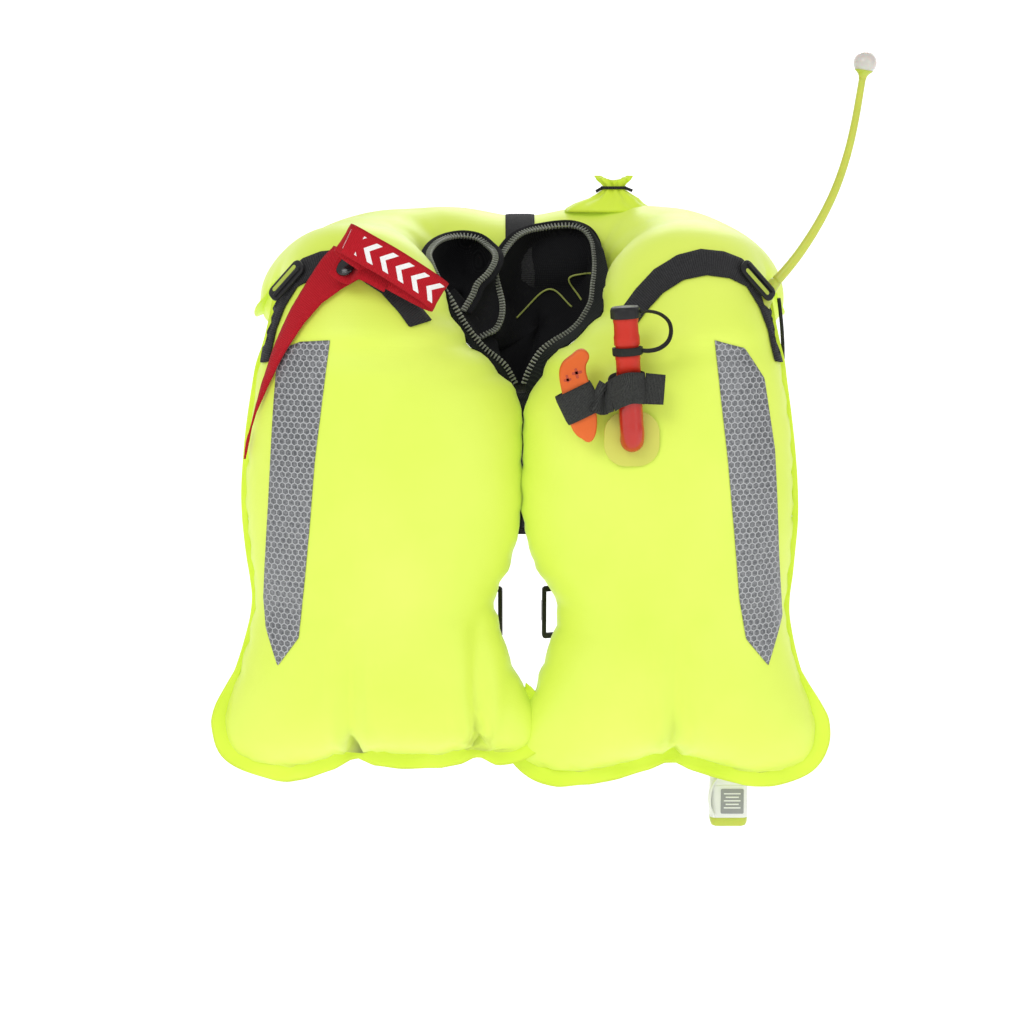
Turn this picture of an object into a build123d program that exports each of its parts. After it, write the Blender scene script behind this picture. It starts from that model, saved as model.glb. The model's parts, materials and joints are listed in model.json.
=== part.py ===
"""Inflatable life jacket, shown inflated and worn upright.

Units are millimetres. +X is the wearer's left (port), +Y points to the wearer's back and
+Z is up. The origin is the centre of the neck opening. Starboard pieces are on -X.
"""
import os
from math import atan, cos, degrees, radians, sin, sqrt, tan

from build123d import *

os.makedirs("parts", exist_ok=True)

# ---------------------------------------------------------------- driving dimensions
BLADDER_WALL = 1.2            # coated fabric, drawn a little thicker than the cloth
LOBE_Y = -90.0                # weld plane of the two chest lobes
SPLIT_Z = -20.0               # height where lobe and shoulder chambers meet
SHOULDER_X = 130.0            # centre of the chamber section at that height
SHOULDER_RX = 69.0
SHOULDER_RY = 56.0
NECK_CHAMBER_X = 58.0         # half width of the chamber behind the neck
NECK_CHAMBER_Y = 112.0
TAPE_THICK = 0.6
WEBBING = 25.0                # lifting strap and accessory strap width
WEBBING_THICK = 1.6
ELASTIC_WIDTH = 20.0
BELT_WIDTH = 38.0
BELT_THICK = 2.0
BELT_RX = 155.0
BELT_RY = 109.0
BELT_Y = 85.0
BELT_Z = -235.0
BELT_TILT = 15.4              # degrees, front end lower
TUBE_R = 9.3                  # oral inflation tube
TUBE_BORE_R = 7.3
TUBE_LENGTH = 101.0
CO2_R = 17.5
CO2_LENGTH = 112.0
THREAD_PITCH = 1.27
LEAD_DIA = 3.0
VEST_THICK = 2.5
CLEAR = 0.4                   # gap between parts that move past each other

# Chest lobe sections: height, inner x, outer x, half depth, centre y (starboard side).
STARBOARD_SECTIONS = [
    (-388.0, -6.0, -214.0, 3.0, -92.0),
    (-374.0, 6.0, -240.0, 19.0, -91.0),
    (-350.0, 6.5, -247.0, 37.0, -90.0),
    (-318.0, -2.0, -240.0, 51.0, LOBE_Y),
    (-280.0, -12.0, -224.0, 58.0, LOBE_Y),
    (-241.0, -17.0, -215.0, 61.0, LOBE_Y),
    (-200.0, -6.0, -220.0, 62.0, LOBE_Y),
    (-155.0, -1.0, -221.0, 62.0, LOBE_Y),
    (-105.0, -1.0, -218.0, 62.0, LOBE_Y),
    (-65.0, -12.0, -211.0, 60.0, -88.0),
    (SPLIT_Z, SHOULDER_RX - SHOULDER_X, -SHOULDER_RX - SHOULDER_X, SHOULDER_RY, -80.0),
]
PORT_SECTIONS = [
    (-398.0, 26.0, 218.0, 3.0, -92.0),
    (-384.0, 12.0, 236.0, 19.0, -91.0),
    (-360.0, 8.0, 245.0, 36.0, -90.0),
    (-326.0, 7.5, 238.0, 50.0, LOBE_Y),
    (-285.0, 14.0, 220.0, 58.0, LOBE_Y),
    (-248.0, 26.0, 213.0, 60.0, LOBE_Y),
    (-205.0, 10.0, 216.0, 62.0, LOBE_Y),
    (-155.0, 1.0, 217.0, 62.0, LOBE_Y),
    (-105.0, 1.0, 214.0, 62.0, LOBE_Y),
    (-65.0, 12.0, 208.0, 60.0, -88.0),
    (SPLIT_Z, SHOULDER_X - SHOULDER_RX, SHOULDER_X + SHOULDER_RX, SHOULDER_RY, -80.0),
]


def save(piece, label):
    """Label one finished sub-part and write it."""
    piece.part.label = label
    export_step(piece.part, f"parts/{label}.step")


# ---------------------------------------------------------------- air chambers
def ellipse_face(plane, rx, ry):
    with BuildSketch(plane, mode=Mode.PRIVATE) as section:
        Ellipse(rx, ry)
    return section.sketch.face()


def lobe_faces(sections, grow):
    """Elliptical sections of a chest lobe, each grown by the given amount."""
    faces = []
    for z, inner, outer, half_depth, y in sections:
        plane = Plane(((inner + outer) / 2, y, z), x_dir=(1, 0, 0), z_dir=(0, 0, 1))
        faces.append(ellipse_face(plane, abs(outer - inner) / 2 + grow, half_depth + grow))
    return faces


def shoulder_planes():
    """Starboard yoke sections: plane, radius across and radius through the chamber."""
    lean = radians(20)
    return [
        (Plane((-SHOULDER_X, -80, SPLIT_Z), x_dir=(1, 0, 0), z_dir=(0, 0, 1)), SHOULDER_RX, SHOULDER_RY),
        (Plane((-130, -46, 16), x_dir=(1, 0, 0), z_dir=(0, 0.72, 0.69)), 58, 50),
        (Plane((-149, 15, 6), x_dir=(cos(lean), 0, sin(lean)), z_dir=(0, 1, 0)), 69, 49),
        (Plane((-122, 80, 14), x_dir=(0.8, -0.6, 0.14), z_dir=(0.6, 0.8, 0)), 66, 50),
        (Plane((-NECK_CHAMBER_X, NECK_CHAMBER_Y, 17), x_dir=(0, -1, 0), z_dir=(1, 0, 0)), 62, 51),
    ]


def shoulder_faces(grow):
    """Elliptical sections of the starboard shoulder chamber, from the neck down to the lobe."""
    faces = [ellipse_face(plane, across + grow, through + grow) for plane, across, through in shoulder_planes()]
    return faces[::-1]


with BuildPart() as lobe_starboard:
    loft(lobe_faces(STARBOARD_SECTIONS, 0), ruled=True)
    loft(lobe_faces(STARBOARD_SECTIONS[1:], -BLADDER_WALL), ruled=True, mode=Mode.SUBTRACT)
save(lobe_starboard, "bladder_lobe_starboard")

with BuildPart() as lobe_port:
    loft(lobe_faces(PORT_SECTIONS, 0), ruled=True)
    loft(lobe_faces(PORT_SECTIONS[1:], -BLADDER_WALL), ruled=True, mode=Mode.SUBTRACT)
save(lobe_port, "bladder_lobe_port")

with BuildPart() as shoulder_starboard:
    loft(shoulder_faces(0), ruled=True)
    loft(shoulder_faces(-BLADDER_WALL), ruled=True, mode=Mode.SUBTRACT)
save(shoulder_starboard, "bladder_shoulder_starboard")

with BuildPart() as shoulder_port:
    mirror(shoulder_starboard.part, about=Plane.YZ)
save(shoulder_port, "bladder_shoulder_port")


def neck_faces(grow):
    faces = []
    for x, z, through in ((-NECK_CHAMBER_X, 17, 51), (0, 8, 50), (NECK_CHAMBER_X, 17, 51)):
        plane = Plane((x, NECK_CHAMBER_Y, z), x_dir=(0, -1, 0), z_dir=(1, 0, 0))
        faces.append(ellipse_face(plane, 62 + grow, through + grow))
    return faces


with BuildPart() as neck_chamber:
    loft(neck_faces(0))
    loft(neck_faces(-BLADDER_WALL), mode=Mode.SUBTRACT)
save(neck_chamber, "bladder_neck_back")


# ---------------------------------------------------------------- pieces lying on the chambers
def front_outline(points, y_start, y_end):
    """Prism in front of the chambers with the given front outline (x, z)."""
    with BuildPart(mode=Mode.PRIVATE) as prism:
        with BuildSketch(Plane.XZ.offset(-y_start)):
            with BuildLine():
                Polyline(*points, close=True)
            make_face()
        extrude(amount=y_start - y_end)
    return prism.part


def mirrored(points):
    return [(-x, z) for x, z in points]


TAPE_STARBOARD = [(-191, -39), (-172, -31), (-149, -29), (-155, -75), (-165, -168), (-174, -257),
                  (-175.5, -263), (-193, -287), (-203, -258), (-205, -235), (-199, -155), (-194, -76)]
TAPE_PORT = [(149, -29), (173, -35), (189, -58), (198, -116), (203, -203), (207, -250), (194.5, -287),
             (176, -264), (170, -231), (159.5, -121)]

for side, sections, outline in (("starboard", STARBOARD_SECTIONS, TAPE_STARBOARD),
                                ("port", PORT_SECTIONS, TAPE_PORT)):
    with BuildPart() as tape:
        loft(lobe_faces(sections, CLEAR + TAPE_THICK), ruled=True)
        add(front_outline(outline, -92, -170), mode=Mode.INTERSECT)
        loft(lobe_faces(sections, CLEAR), ruled=True, mode=Mode.SUBTRACT)
    save(tape, f"reflective_tape_{side}")

# Elastic retaining straps lie over the shoulders, from the collar to a slider.
ELASTIC = [(76, -14), (88, 6), (104, 22), (122, 33), (140, 38), (158, 36), (174, 29), (187, 14),
           (196, -6), (199, -17), (186, -17), (180, -4), (170, 10), (155, 17), (138, 18), (122, 14),
           (108, 4), (98, -8), (92, -16)]

with BuildPart() as elastic_starboard:
    loft(shoulder_faces(3.0), ruled=True)
    add(front_outline(mirrored(ELASTIC), -76, -170), mode=Mode.INTERSECT)
    loft(shoulder_faces(1.2), ruled=True, mode=Mode.SUBTRACT)
save(elastic_starboard, "elastic_strap_starboard")

with BuildPart() as elastic_port:
    mirror(elastic_starboard.part, about=Plane.YZ)
save(elastic_port, "elastic_strap_port")

# Lifting strap tail: crosses shoulder and lobe, outside the elastic strap.
LIFT_TAIL = [(-147, 37), (-163, 17), (-176, -3), (-196, -40), (-208, -78), (-216, -112), (-216.5, -124),
             (-205, -95), (-190, -62), (-180, -40), (-170, -24), (-155, -5), (-137, 7), (-119, 20)]
with BuildPart() as lift_tail:
    loft(shoulder_faces(5.4), ruled=True)
    loft(lobe_faces(STARBOARD_SECTIONS, 5.4), ruled=True)
    add(front_outline(LIFT_TAIL, -72, -170), mode=Mode.INTERSECT)
    loft(shoulder_faces(3.8), ruled=True, mode=Mode.SUBTRACT)
    loft(lobe_faces(STARBOARD_SECTIONS, 3.8), ruled=True, mode=Mode.SUBTRACT)
save(lift_tail, "lift_strap_tail")


# ---------------------------------------------------------------- shoulder sliders and lifting loop
def frame(origin, x_dir, z_dir):
    """A plane whose x direction is squared up to its normal."""
    x, z = Vector(*x_dir), Vector(*z_dir).normalized()
    x = (x - z * x.dot(z)).normalized()
    return Plane(origin, x_dir=x, z_dir=z)


SLIDER_PLANE = frame((184, -96, 14), (0.45, 0.3, -0.85), (0.55, -0.62, 0.42))
with BuildPart() as slider_port:
    with BuildSketch(SLIDER_PLANE.offset(1)):
        RectangleRounded(36, 14, 3)
        with Locations((0, 2.9), (0, -2.9)):
            RectangleRounded(25, 3.4, 1.2, mode=Mode.SUBTRACT)
    extrude(amount=3.5)
save(slider_port, "elastic_slider_port")
with BuildPart() as slider_starboard:
    mirror(slider_port.part, about=Plane.YZ)
save(slider_starboard, "elastic_slider_starboard")

SNAP_NORMAL = (-0.18, -0.80, 0.57)
SNAP_PLANE = frame((-136, -123, 22), (0.86, 0, -0.5), SNAP_NORMAL)
with BuildPart() as snap_socket:
    with BuildSketch(SNAP_PLANE.offset(6)):
        Circle(5.5)
    extrude(amount=1.6)
    with BuildSketch(SNAP_PLANE.offset(7.6)):
        Circle(2.2)
    extrude(amount=2.0)
save(snap_socket, "lift_snap_stud")
with BuildPart() as snap_cap:
    with BuildSketch(SNAP_PLANE.offset(8.0)):
        Circle(7.5)
        Circle(2.8, mode=Mode.SUBTRACT)
    extrude(amount=2.2)
    with BuildSketch(SNAP_PLANE.offset(10.2)):
        Circle(7.5)
    extrude(amount=1.2, taper=35)
save(snap_cap, "lift_snap_cap")

LOOP_LENGTH = 90.0
LOOP_GAP = 11.0
LOOP_PLANE = frame((-101, -140, 27), (0.856, 0.061, -0.513), (0.512, 0.036, 0.858))
with BuildPart() as lift_loop:
    with BuildSketch(LOOP_PLANE):
        SlotOverall(LOOP_LENGTH, LOOP_GAP + 2 * WEBBING_THICK)
        SlotOverall(LOOP_LENGTH - 2 * WEBBING_THICK, LOOP_GAP, mode=Mode.SUBTRACT)
    extrude(amount=WEBBING / 2, both=True)
save(lift_loop, "lift_loop")

# ---------------------------------------------------------------- collar lining and burst zip
RIM_NORMAL = (0, -0.743, 0.669)       # the open collar faces forward and up
COLLAR_DEPTH = 14.0
ZIP_WIDTH = 6.0
ZIP_THICK = 2.6
# Rim outlines (x, up the rim plane) and the radius that rounds their corners.
RIM_PORT = [(3, -84), (42, -46), (60, 0), (60, 56), (42, 76), (4, 74), (-19, 38), (-19, -34)]
RIM_STARBOARD = [(-62, -34), (-76, 14), (-70, 46), (-46, 60), (-27, 42), (-27, 12), (-47, -34)]
NECKLINE = [(-6, -80), (-62, -35)]


def rim_plane(rise):
    return Plane((0, -10 - 0.743 * rise, -3.6 + 0.669 * rise), x_dir=(1, 0, 0), z_dir=RIM_NORMAL)


def rim_wall(plane, outline, round_off, thickness):
    """Closed strip of one thickness along the inside of a rim outline."""
    with BuildSketch(plane, mode=Mode.PRIVATE) as strip:
        with BuildLine():
            Polyline(*outline, close=True)
        make_face()
        fillet(strip.vertices(), round_off)
        offset(amount=-thickness, mode=Mode.SUBTRACT)
    return strip.sketch


def neckline_strip(plane, thickness):
    """Straight run of the collar edge from the starboard funnel down to the point of the V."""
    (xa, ya), (xb, yb) = NECKLINE
    run = sqrt((xb - xa) ** 2 + (yb - ya) ** 2)
    tilt = degrees(atan((yb - ya) / (xb - xa)))
    with BuildSketch(plane, mode=Mode.PRIVATE) as strip:
        with Locations(Location(((xa + xb) / 2, (ya + yb) / 2), tilt)):
            Rectangle(run - 3, thickness)
    return strip.sketch


for side, outline in (("port", RIM_PORT), ("starboard", RIM_STARBOARD)):
    with BuildPart() as collar:
        extrude(rim_wall(rim_plane(-COLLAR_DEPTH), outline, 7, VEST_THICK), amount=COLLAR_DEPTH)
        if side == "starboard":
            extrude(neckline_strip(rim_plane(-COLLAR_DEPTH), VEST_THICK), amount=COLLAR_DEPTH)
    save(collar, f"collar_lining_{side}")
    with BuildPart() as zip_chain:
        extrude(rim_wall(rim_plane(CLEAR), outline, 7, ZIP_THICK), amount=ZIP_WIDTH)
        if side == "starboard":
            extrude(neckline_strip(rim_plane(CLEAR), ZIP_THICK), amount=ZIP_WIDTH)
    save(zip_chain, f"burst_zip_{side}")


# ---------------------------------------------------------------- vest body and back
VEST_INNER_X = 45.0
VEST_OUTER_X = 118.0
VEST_Y = -25.7
VEST_PATH = [(VEST_Y, -300), (VEST_Y, -88), (2, -60), (105, -60), (168, -150)]
YOKE_PATH = [(112, -70), (168, -150)]


def profile_points(path, thickness):
    """Offset a side profile to both sides by mitred corners."""
    half = thickness / 2
    normals = []
    for (ya, za), (yb, zb) in zip(path, path[1:]):
        run = sqrt((yb - ya) ** 2 + (zb - za) ** 2)
        normals.append((-(zb - za) / run, (yb - ya) / run))
    sides = []
    for sign in (1, -1):
        line = []
        for i, (y, z) in enumerate(path):
            before = normals[max(i - 1, 0)]
            after = normals[min(i, len(normals) - 1)]
            scale = half / (1 + before[0] * after[0] + before[1] * after[1])
            line.append((y + sign * scale * (before[0] + after[0]), z + sign * scale * (before[1] + after[1])))
        sides.append(line)
    return sides[0] + sides[1][::-1]


def panel(path, x_from, x_to, name, thickness=VEST_THICK):
    with BuildPart() as piece:
        with BuildSketch(Plane.YZ.offset(x_from)):
            with BuildLine():
                Polyline(*profile_points(path, thickness), close=True)
            make_face()
        extrude(amount=x_to - x_from)
    save(piece, name)


panel(VEST_PATH, -VEST_OUTER_X, -VEST_INNER_X, "vest_side_starboard")
panel(VEST_PATH, VEST_INNER_X, VEST_OUTER_X, "vest_side_port")
panel(YOKE_PATH, -VEST_INNER_X, VEST_INNER_X, "vest_back_yoke")
BACK_STRAP_PATH = [(171.5, -151.5), (195, -178), (200, -232)]
panel(BACK_STRAP_PATH, -20, 20, "back_strap")

with BuildPart() as neck_webbing:
    with BuildSketch(Plane((-13.5, NECK_CHAMBER_Y, 8), x_dir=(0, -1, 0), z_dir=(1, 0, 0))):
        Ellipse(65.2, 53.2)
        Ellipse(63.6, 51.6, mode=Mode.SUBTRACT)
    extrude(amount=WEBBING)
save(neck_webbing, "neck_webbing")

# Cover zip: straight run behind the port lobe, with its parked slider.
ZIP_RUN_X = VEST_OUTER_X + 5.0
ZIP_RUN_Y = VEST_Y + 1.4
with BuildPart() as zip_run:
    with BuildSketch(Plane((ZIP_RUN_X, ZIP_RUN_Y, -296))):
        Rectangle(5.6, 2.4)
    extrude(amount=190)
save(zip_run, "cover_zip_run")
with BuildPart() as zip_slider:
    with BuildSketch(Plane((ZIP_RUN_X, ZIP_RUN_Y, -290))):
        RectangleRounded(9.4, 6.4, 1.4)
        Rectangle(5.6 + 2 * CLEAR, 2.4 + 2 * CLEAR, mode=Mode.SUBTRACT)
        with Locations((4, 0)):
            Rectangle(3, 1.2, mode=Mode.SUBTRACT)
    extrude(amount=11)
save(zip_slider, "cover_zip_slider")

# ---------------------------------------------------------------- waist belt
TILT = radians(BELT_TILT)
BELT_PLANE = Plane((0, BELT_Y, BELT_Z), x_dir=(1, 0, 0), z_dir=(0, -sin(TILT), cos(TILT)))
BELT_END_STARBOARD = -40.0
BELT_END_PORT = 39.0
PIN_R = 2.5
EYE_R = 5.4


def belt_frame(x):
    """Plane on the belt's front run at x: local x along the belt, z out to the front, y up."""
    share = x / BELT_RX
    local_y = -BELT_RY * sqrt(1 - share * share)
    slope = BELT_RY * share / (BELT_RX * sqrt(1 - share * share))
    origin = BELT_PLANE.from_local_coords(Vector(x, local_y, 0))
    tip = BELT_PLANE.from_local_coords(Vector(x + 1, local_y + slope, 0))
    tangent = (tip - origin).normalized()
    up = BELT_PLANE.z_dir
    return Plane(origin, x_dir=tangent, z_dir=tangent.cross(up))


for side, end, sign in (("starboard", BELT_END_STARBOARD, -1), ("port", BELT_END_PORT, 1)):
    eye = belt_frame(end)
    with BuildPart() as belt:
        with BuildSketch(BELT_PLANE):
            Ellipse(BELT_RX + BELT_THICK / 2, BELT_RY + BELT_THICK / 2)
            Ellipse(BELT_RX - BELT_THICK / 2, BELT_RY - BELT_THICK / 2, mode=Mode.SUBTRACT)
            with Locations((end + sign * 100, -60)):
                Rectangle(200, 120, mode=Mode.INTERSECT)
        extrude(amount=BELT_WIDTH / 2, both=True)
        with BuildSketch(BELT_PLANE):
            Ellipse(BELT_RX + BELT_THICK / 2, BELT_RY + BELT_THICK / 2)
            Ellipse(BELT_RX - BELT_THICK / 2, BELT_RY - BELT_THICK / 2, mode=Mode.SUBTRACT)
            with Locations((sign * 100, 60)):
                Rectangle(200, 122, mode=Mode.INTERSECT)
        extrude(amount=BELT_WIDTH / 2, both=True)
        with BuildSketch(Plane(eye.origin, x_dir=eye.x_dir, z_dir=BELT_PLANE.z_dir)):
            with Locations((-sign * EYE_R, 0)):
                Circle(EYE_R)
                Circle(EYE_R - BELT_THICK, mode=Mode.SUBTRACT)
        extrude(amount=BELT_WIDTH / 2 - 1, both=True)
    save(belt, f"waist_belt_{side}")

    # Buckle half: a cross bar inside the belt's sewn eye, and a plate or hook beyond it.
    reach = {"starboard": 19.0, "port": 17.0}[side]
    bar = Plane(eye.origin - eye.x_dir * sign * EYE_R, x_dir=-eye.x_dir * sign, z_dir=BELT_PLANE.z_dir)
    plate = Plane(bar.origin, x_dir=bar.x_dir, z_dir=bar.x_dir.cross(bar.z_dir))
    with BuildPart() as buckle:
        with BuildSketch(plate.offset(-1.5)):
            with Locations(((reach - PIN_R) / 2, 0)):
                RectangleRounded(reach + PIN_R, BELT_WIDTH + 9, 3)
            with Locations((reach / 2 - 0.6, 0)):
                Rectangle(reach - 5.6, BELT_WIDTH + 1, mode=Mode.SUBTRACT)
        extrude(amount=3)
        with BuildSketch(bar):
            Circle(PIN_R)
        extrude(amount=BELT_WIDTH / 2, both=True)
        if side == "port":
            with BuildSketch(plate.offset(1)):
                with Locations((reach - 2, 0)):
                    RectangleRounded(3.4, 20, 1.5)
            extrude(amount=4)
    save(buckle, "buckle_frame" if side == "starboard" else "buckle_hook")

ADJUSTER = belt_frame(-78)
with BuildPart() as adjuster:
    with BuildSketch(ADJUSTER.offset(-4.5)):
        RectangleRounded(24, BELT_WIDTH + 12, 3)
    extrude(amount=9)
    with BuildSketch(ADJUSTER.offset(-2.8)):
        Rectangle(40, BELT_WIDTH + 2)
    extrude(amount=5.6, mode=Mode.SUBTRACT)
    for step in (-6, 6):
        with BuildSketch(ADJUSTER.offset(2)):
            with Locations((step, 0)):
                Rectangle(5, BELT_WIDTH - 2)
        extrude(amount=4, mode=Mode.SUBTRACT)
save(adjuster, "belt_adjuster")

# ---------------------------------------------------------------- oral inflation tube
TUBE_FOOT = Vector(84.6, -163.0, -104.0)
TUBE_AXIS = Vector(-6.1, -3.0, 96.0).normalized()
TUBE = frame(TUBE_FOOT, (1, 0, 0), TUBE_AXIS)
FLANGE = Plane((TUBE_FOOT.X, -153.6, TUBE_FOOT.Z), x_dir=(1, 0, 0), z_dir=(0, 1, 0))
ELBOW_REACH = 10.4
VALVE_SEAT = TUBE_LENGTH - 26.0

with BuildPart() as oral_flange:
    with BuildSketch(FLANGE):
        RectangleRounded(43, 43, 17)
        Circle(TUBE_R + 0.3, mode=Mode.SUBTRACT)
    extrude(amount=1.2)
save(oral_flange, "oral_tube_flange")

with BuildPart() as oral_tube:
    with BuildSketch(TUBE):
        Circle(TUBE_R)
    extrude(amount=TUBE_LENGTH)
    with Locations(TUBE_FOOT):
        Sphere(TUBE_R)
    with BuildSketch(Plane(TUBE_FOOT, x_dir=(1, 0, 0), z_dir=(0, 1, 0))):
        Circle(TUBE_R)
    extrude(amount=ELBOW_REACH)
    with BuildSketch(TUBE):
        Circle(TUBE_BORE_R)
    extrude(amount=TUBE_LENGTH, mode=Mode.SUBTRACT)
    with BuildSketch(Plane(TUBE_FOOT, x_dir=(1, 0, 0), z_dir=(0, 1, 0))):
        Circle(TUBE_BORE_R)
    extrude(amount=ELBOW_REACH + 1, mode=Mode.SUBTRACT)
    with Locations(TUBE_FOOT):
        Sphere(TUBE_BORE_R, mode=Mode.SUBTRACT)
    with BuildSketch(TUBE.offset(VALVE_SEAT - 3)):
        Circle(TUBE_BORE_R + 0.2)
        Circle(1.9, mode=Mode.SUBTRACT)
        with PolarLocations(4.6, 4):
            Circle(1.3, mode=Mode.SUBTRACT)
    extrude(amount=3)
save(oral_tube, "oral_tube")

with BuildPart() as valve:
    with BuildSketch(TUBE.offset(VALVE_SEAT - 9)):
        Circle(5.2)
    extrude(amount=1.6)
    with BuildSketch(TUBE.offset(VALVE_SEAT - 9)):
        Circle(1.5)
    extrude(amount=28)
    with BuildSketch(TUBE.offset(VALVE_SEAT + 14)):
        Circle(4.2)
    extrude(amount=1.6)
save(valve, "oral_valve_poppet")
SPRING_COILS = 5
with BuildPart() as valve_spring:
    with BuildLine(TUBE.offset(VALVE_SEAT + 0.9)):
        coil = Helix(pitch=12.0 / SPRING_COILS, height=12.0, radius=3.0)
    with BuildSketch(Plane(coil @ 0, z_dir=coil % 0)):
        Circle(0.4)
    sweep(is_frenet=True)
save(valve_spring, "oral_valve_spring")

CAP_WALL = 1.3
with BuildPart() as oral_cap:
    with BuildSketch(TUBE.offset(TUBE_LENGTH - 7)):
        Circle(TUBE_R + CLEAR + CAP_WALL)
        Circle(TUBE_R + CLEAR, mode=Mode.SUBTRACT)
    extrude(amount=7 + CLEAR)
    with BuildSketch(TUBE.offset(TUBE_LENGTH + CLEAR)):
        Circle(TUBE_R + CLEAR + CAP_WALL)
    extrude(amount=2.2)
    with BuildSketch(TUBE.offset(TUBE_LENGTH - 6)):
        with Locations((-TUBE_R - 2.6, 0)):
            RectangleRounded(3.4, 6, 1)
    extrude(amount=5)
save(oral_cap, "oral_cap")

RING_HEIGHT = TUBE_LENGTH - 33.0
TETHER_X = TUBE_R + 1.7
with BuildPart() as cap_tether:
    with BuildSketch(Plane(TUBE.from_local_coords(Vector(0, -2.5, 0)), x_dir=TUBE.x_dir,
                           z_dir=-TUBE.y_dir)):
        with BuildLine():
            l1 = ThreePointArc((TETHER_X, RING_HEIGHT + 1), (34.5, RING_HEIGHT + 17), (TETHER_X + 0.6, TUBE_LENGTH - 1))
            l2 = Line(l1 @ 1, (TETHER_X + 0.6, TUBE_LENGTH - 2.4))
            l3 = ThreePointArc(l2 @ 1, (33.1, RING_HEIGHT + 17), (TETHER_X, RING_HEIGHT + 2.4))
            Line(l3 @ 1, l1 @ 0)
        make_face()
    extrude(amount=-5)
    with BuildSketch(TUBE.offset(RING_HEIGHT - 2)):
        Circle(TUBE_R + 0.3 + 1.6)
        Circle(TUBE_R + 0.3, mode=Mode.SUBTRACT)
    extrude(amount=6)
save(cap_tether, "cap_tether")

# ---------------------------------------------------------------- whistle and hook-and-loop strap
WHISTLE = frame((49.2, -157.0, -104.5), (1, 0, 0.14), (-9.6, -5.0, 65))
WHISTLE_LENGTH = 72.0
with BuildPart() as whistle:
    with BuildSketch(WHISTLE):
        RectangleRounded(19, 11, 4)
    with BuildSketch(WHISTLE.offset(12)):
        RectangleRounded(22, 12.4, 4)
    with BuildSketch(WHISTLE.offset(52)):
        RectangleRounded(22, 12.4, 4)
    with BuildSketch(WHISTLE.offset(WHISTLE_LENGTH - 4)):
        RectangleRounded(21, 8, 3)
    loft(ruled=True)
    with BuildSketch(WHISTLE.offset(WHISTLE_LENGTH - 24)):
        with Locations((0, 0)):
            Rectangle(15, 5)
    extrude(amount=30, mode=Mode.SUBTRACT)
    with BuildSketch(frame(WHISTLE.from_local_coords(Vector(0, -8, 50)), WHISTLE.x_dir, -WHISTLE.y_dir)):
        Rectangle(10, 3)
    extrude(amount=6, both=True, mode=Mode.SUBTRACT)
save(whistle, "whistle")

STRAP_LOW = 20.0
with BuildPart() as accessory_strap:
    with BuildSketch(WHISTLE.offset(STRAP_LOW)):
        RectangleRounded(26.5, 16.6, 5.5)
        RectangleRounded(23.3, 13.4, 4.3, mode=Mode.SUBTRACT)
    extrude(amount=WEBBING)
    with BuildSketch(TUBE.offset(30)):
        Circle(TUBE_R + CLEAR + WEBBING_THICK)
        Circle(TUBE_R + CLEAR, mode=Mode.SUBTRACT)
    extrude(amount=WEBBING)
    with BuildSketch(Plane((64.5, -160.9, -72), x_dir=(1, 0, 0), z_dir=(0, 1, 0))):
        Rectangle(15, 14)
    extrude(amount=1.8)
save(accessory_strap, "accessory_strap")
TAB_HINGE = TUBE.from_local_coords(Vector(TUBE_R + 2.9, -4.0, 30))
with BuildPart() as strap_tab:
    with BuildSketch(Plane(TAB_HINGE, x_dir=TUBE.x_dir, z_dir=TUBE_AXIS)):
        with Locations((6.5, 0)):
            Rectangle(13, WEBBING_THICK)
    extrude(amount=WEBBING)
save(strap_tab, "strap_peel_tab")

# ---------------------------------------------------------------- rescue light
LIGHT_Y = -80.0
LIGHT_FOOT = Vector(201, LIGHT_Y, 13)
STEM_MID = Vector(244, LIGHT_Y, 78)
STEM_TOP = Vector(267.5, LIGHT_Y, 174)
LENS_R = 9.0
STEM_R = 4.0
with BuildPart() as light_base:
    with BuildSketch(frame(LIGHT_FOOT + Vector(-5.5, 0, -5.5), (0, 1, 0), (0.7, 0, 0.7))):
        RectangleRounded(17, 11, 4)
    with BuildSketch(frame(LIGHT_FOOT + Vector(-1.6, 0, -1.6), (0, 1, 0), (0.7, 0, 0.7))):
        RectangleRounded(11, 10, 4)
    loft()
    with Locations(LIGHT_FOOT):
        Sphere(STEM_R + CLEAR, mode=Mode.SUBTRACT)
save(light_base, "light_base")
with BuildPart() as light_stem:
    with BuildLine():
        stem_path = ThreePointArc(LIGHT_FOOT, STEM_MID, STEM_TOP)
    for place, radius in ((0, STEM_R - 0.1), (0.5, 3.1), (1, 2.5)):
        with BuildSketch(Plane(stem_path @ place, z_dir=stem_path % place)):
            Circle(radius)
    sweep(multisection=True)
    with Locations(LIGHT_FOOT):
        Sphere(STEM_R)
    STEM_TIP = Plane(stem_path @ 1, z_dir=stem_path % 1)
    with BuildSketch(STEM_TIP):
        Circle(3.2)
    with BuildSketch(STEM_TIP.offset(7)):
        Circle(LENS_R - 0.6)
    loft()
save(light_stem, "light_stem")

with BuildPart() as light_lens:
    with Locations(STEM_TIP.from_local_coords(Vector(0, 0, 10.6))):
        Sphere(LENS_R)
    with BuildSketch(STEM_TIP.offset(7)):
        Circle(30)
    extrude(amount=-30, mode=Mode.SUBTRACT)
    with BuildSketch(STEM_TIP.offset(7)):
        Circle(6.2)
    extrude(amount=6, mode=Mode.SUBTRACT)
save(light_lens, "light_lens")
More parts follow.
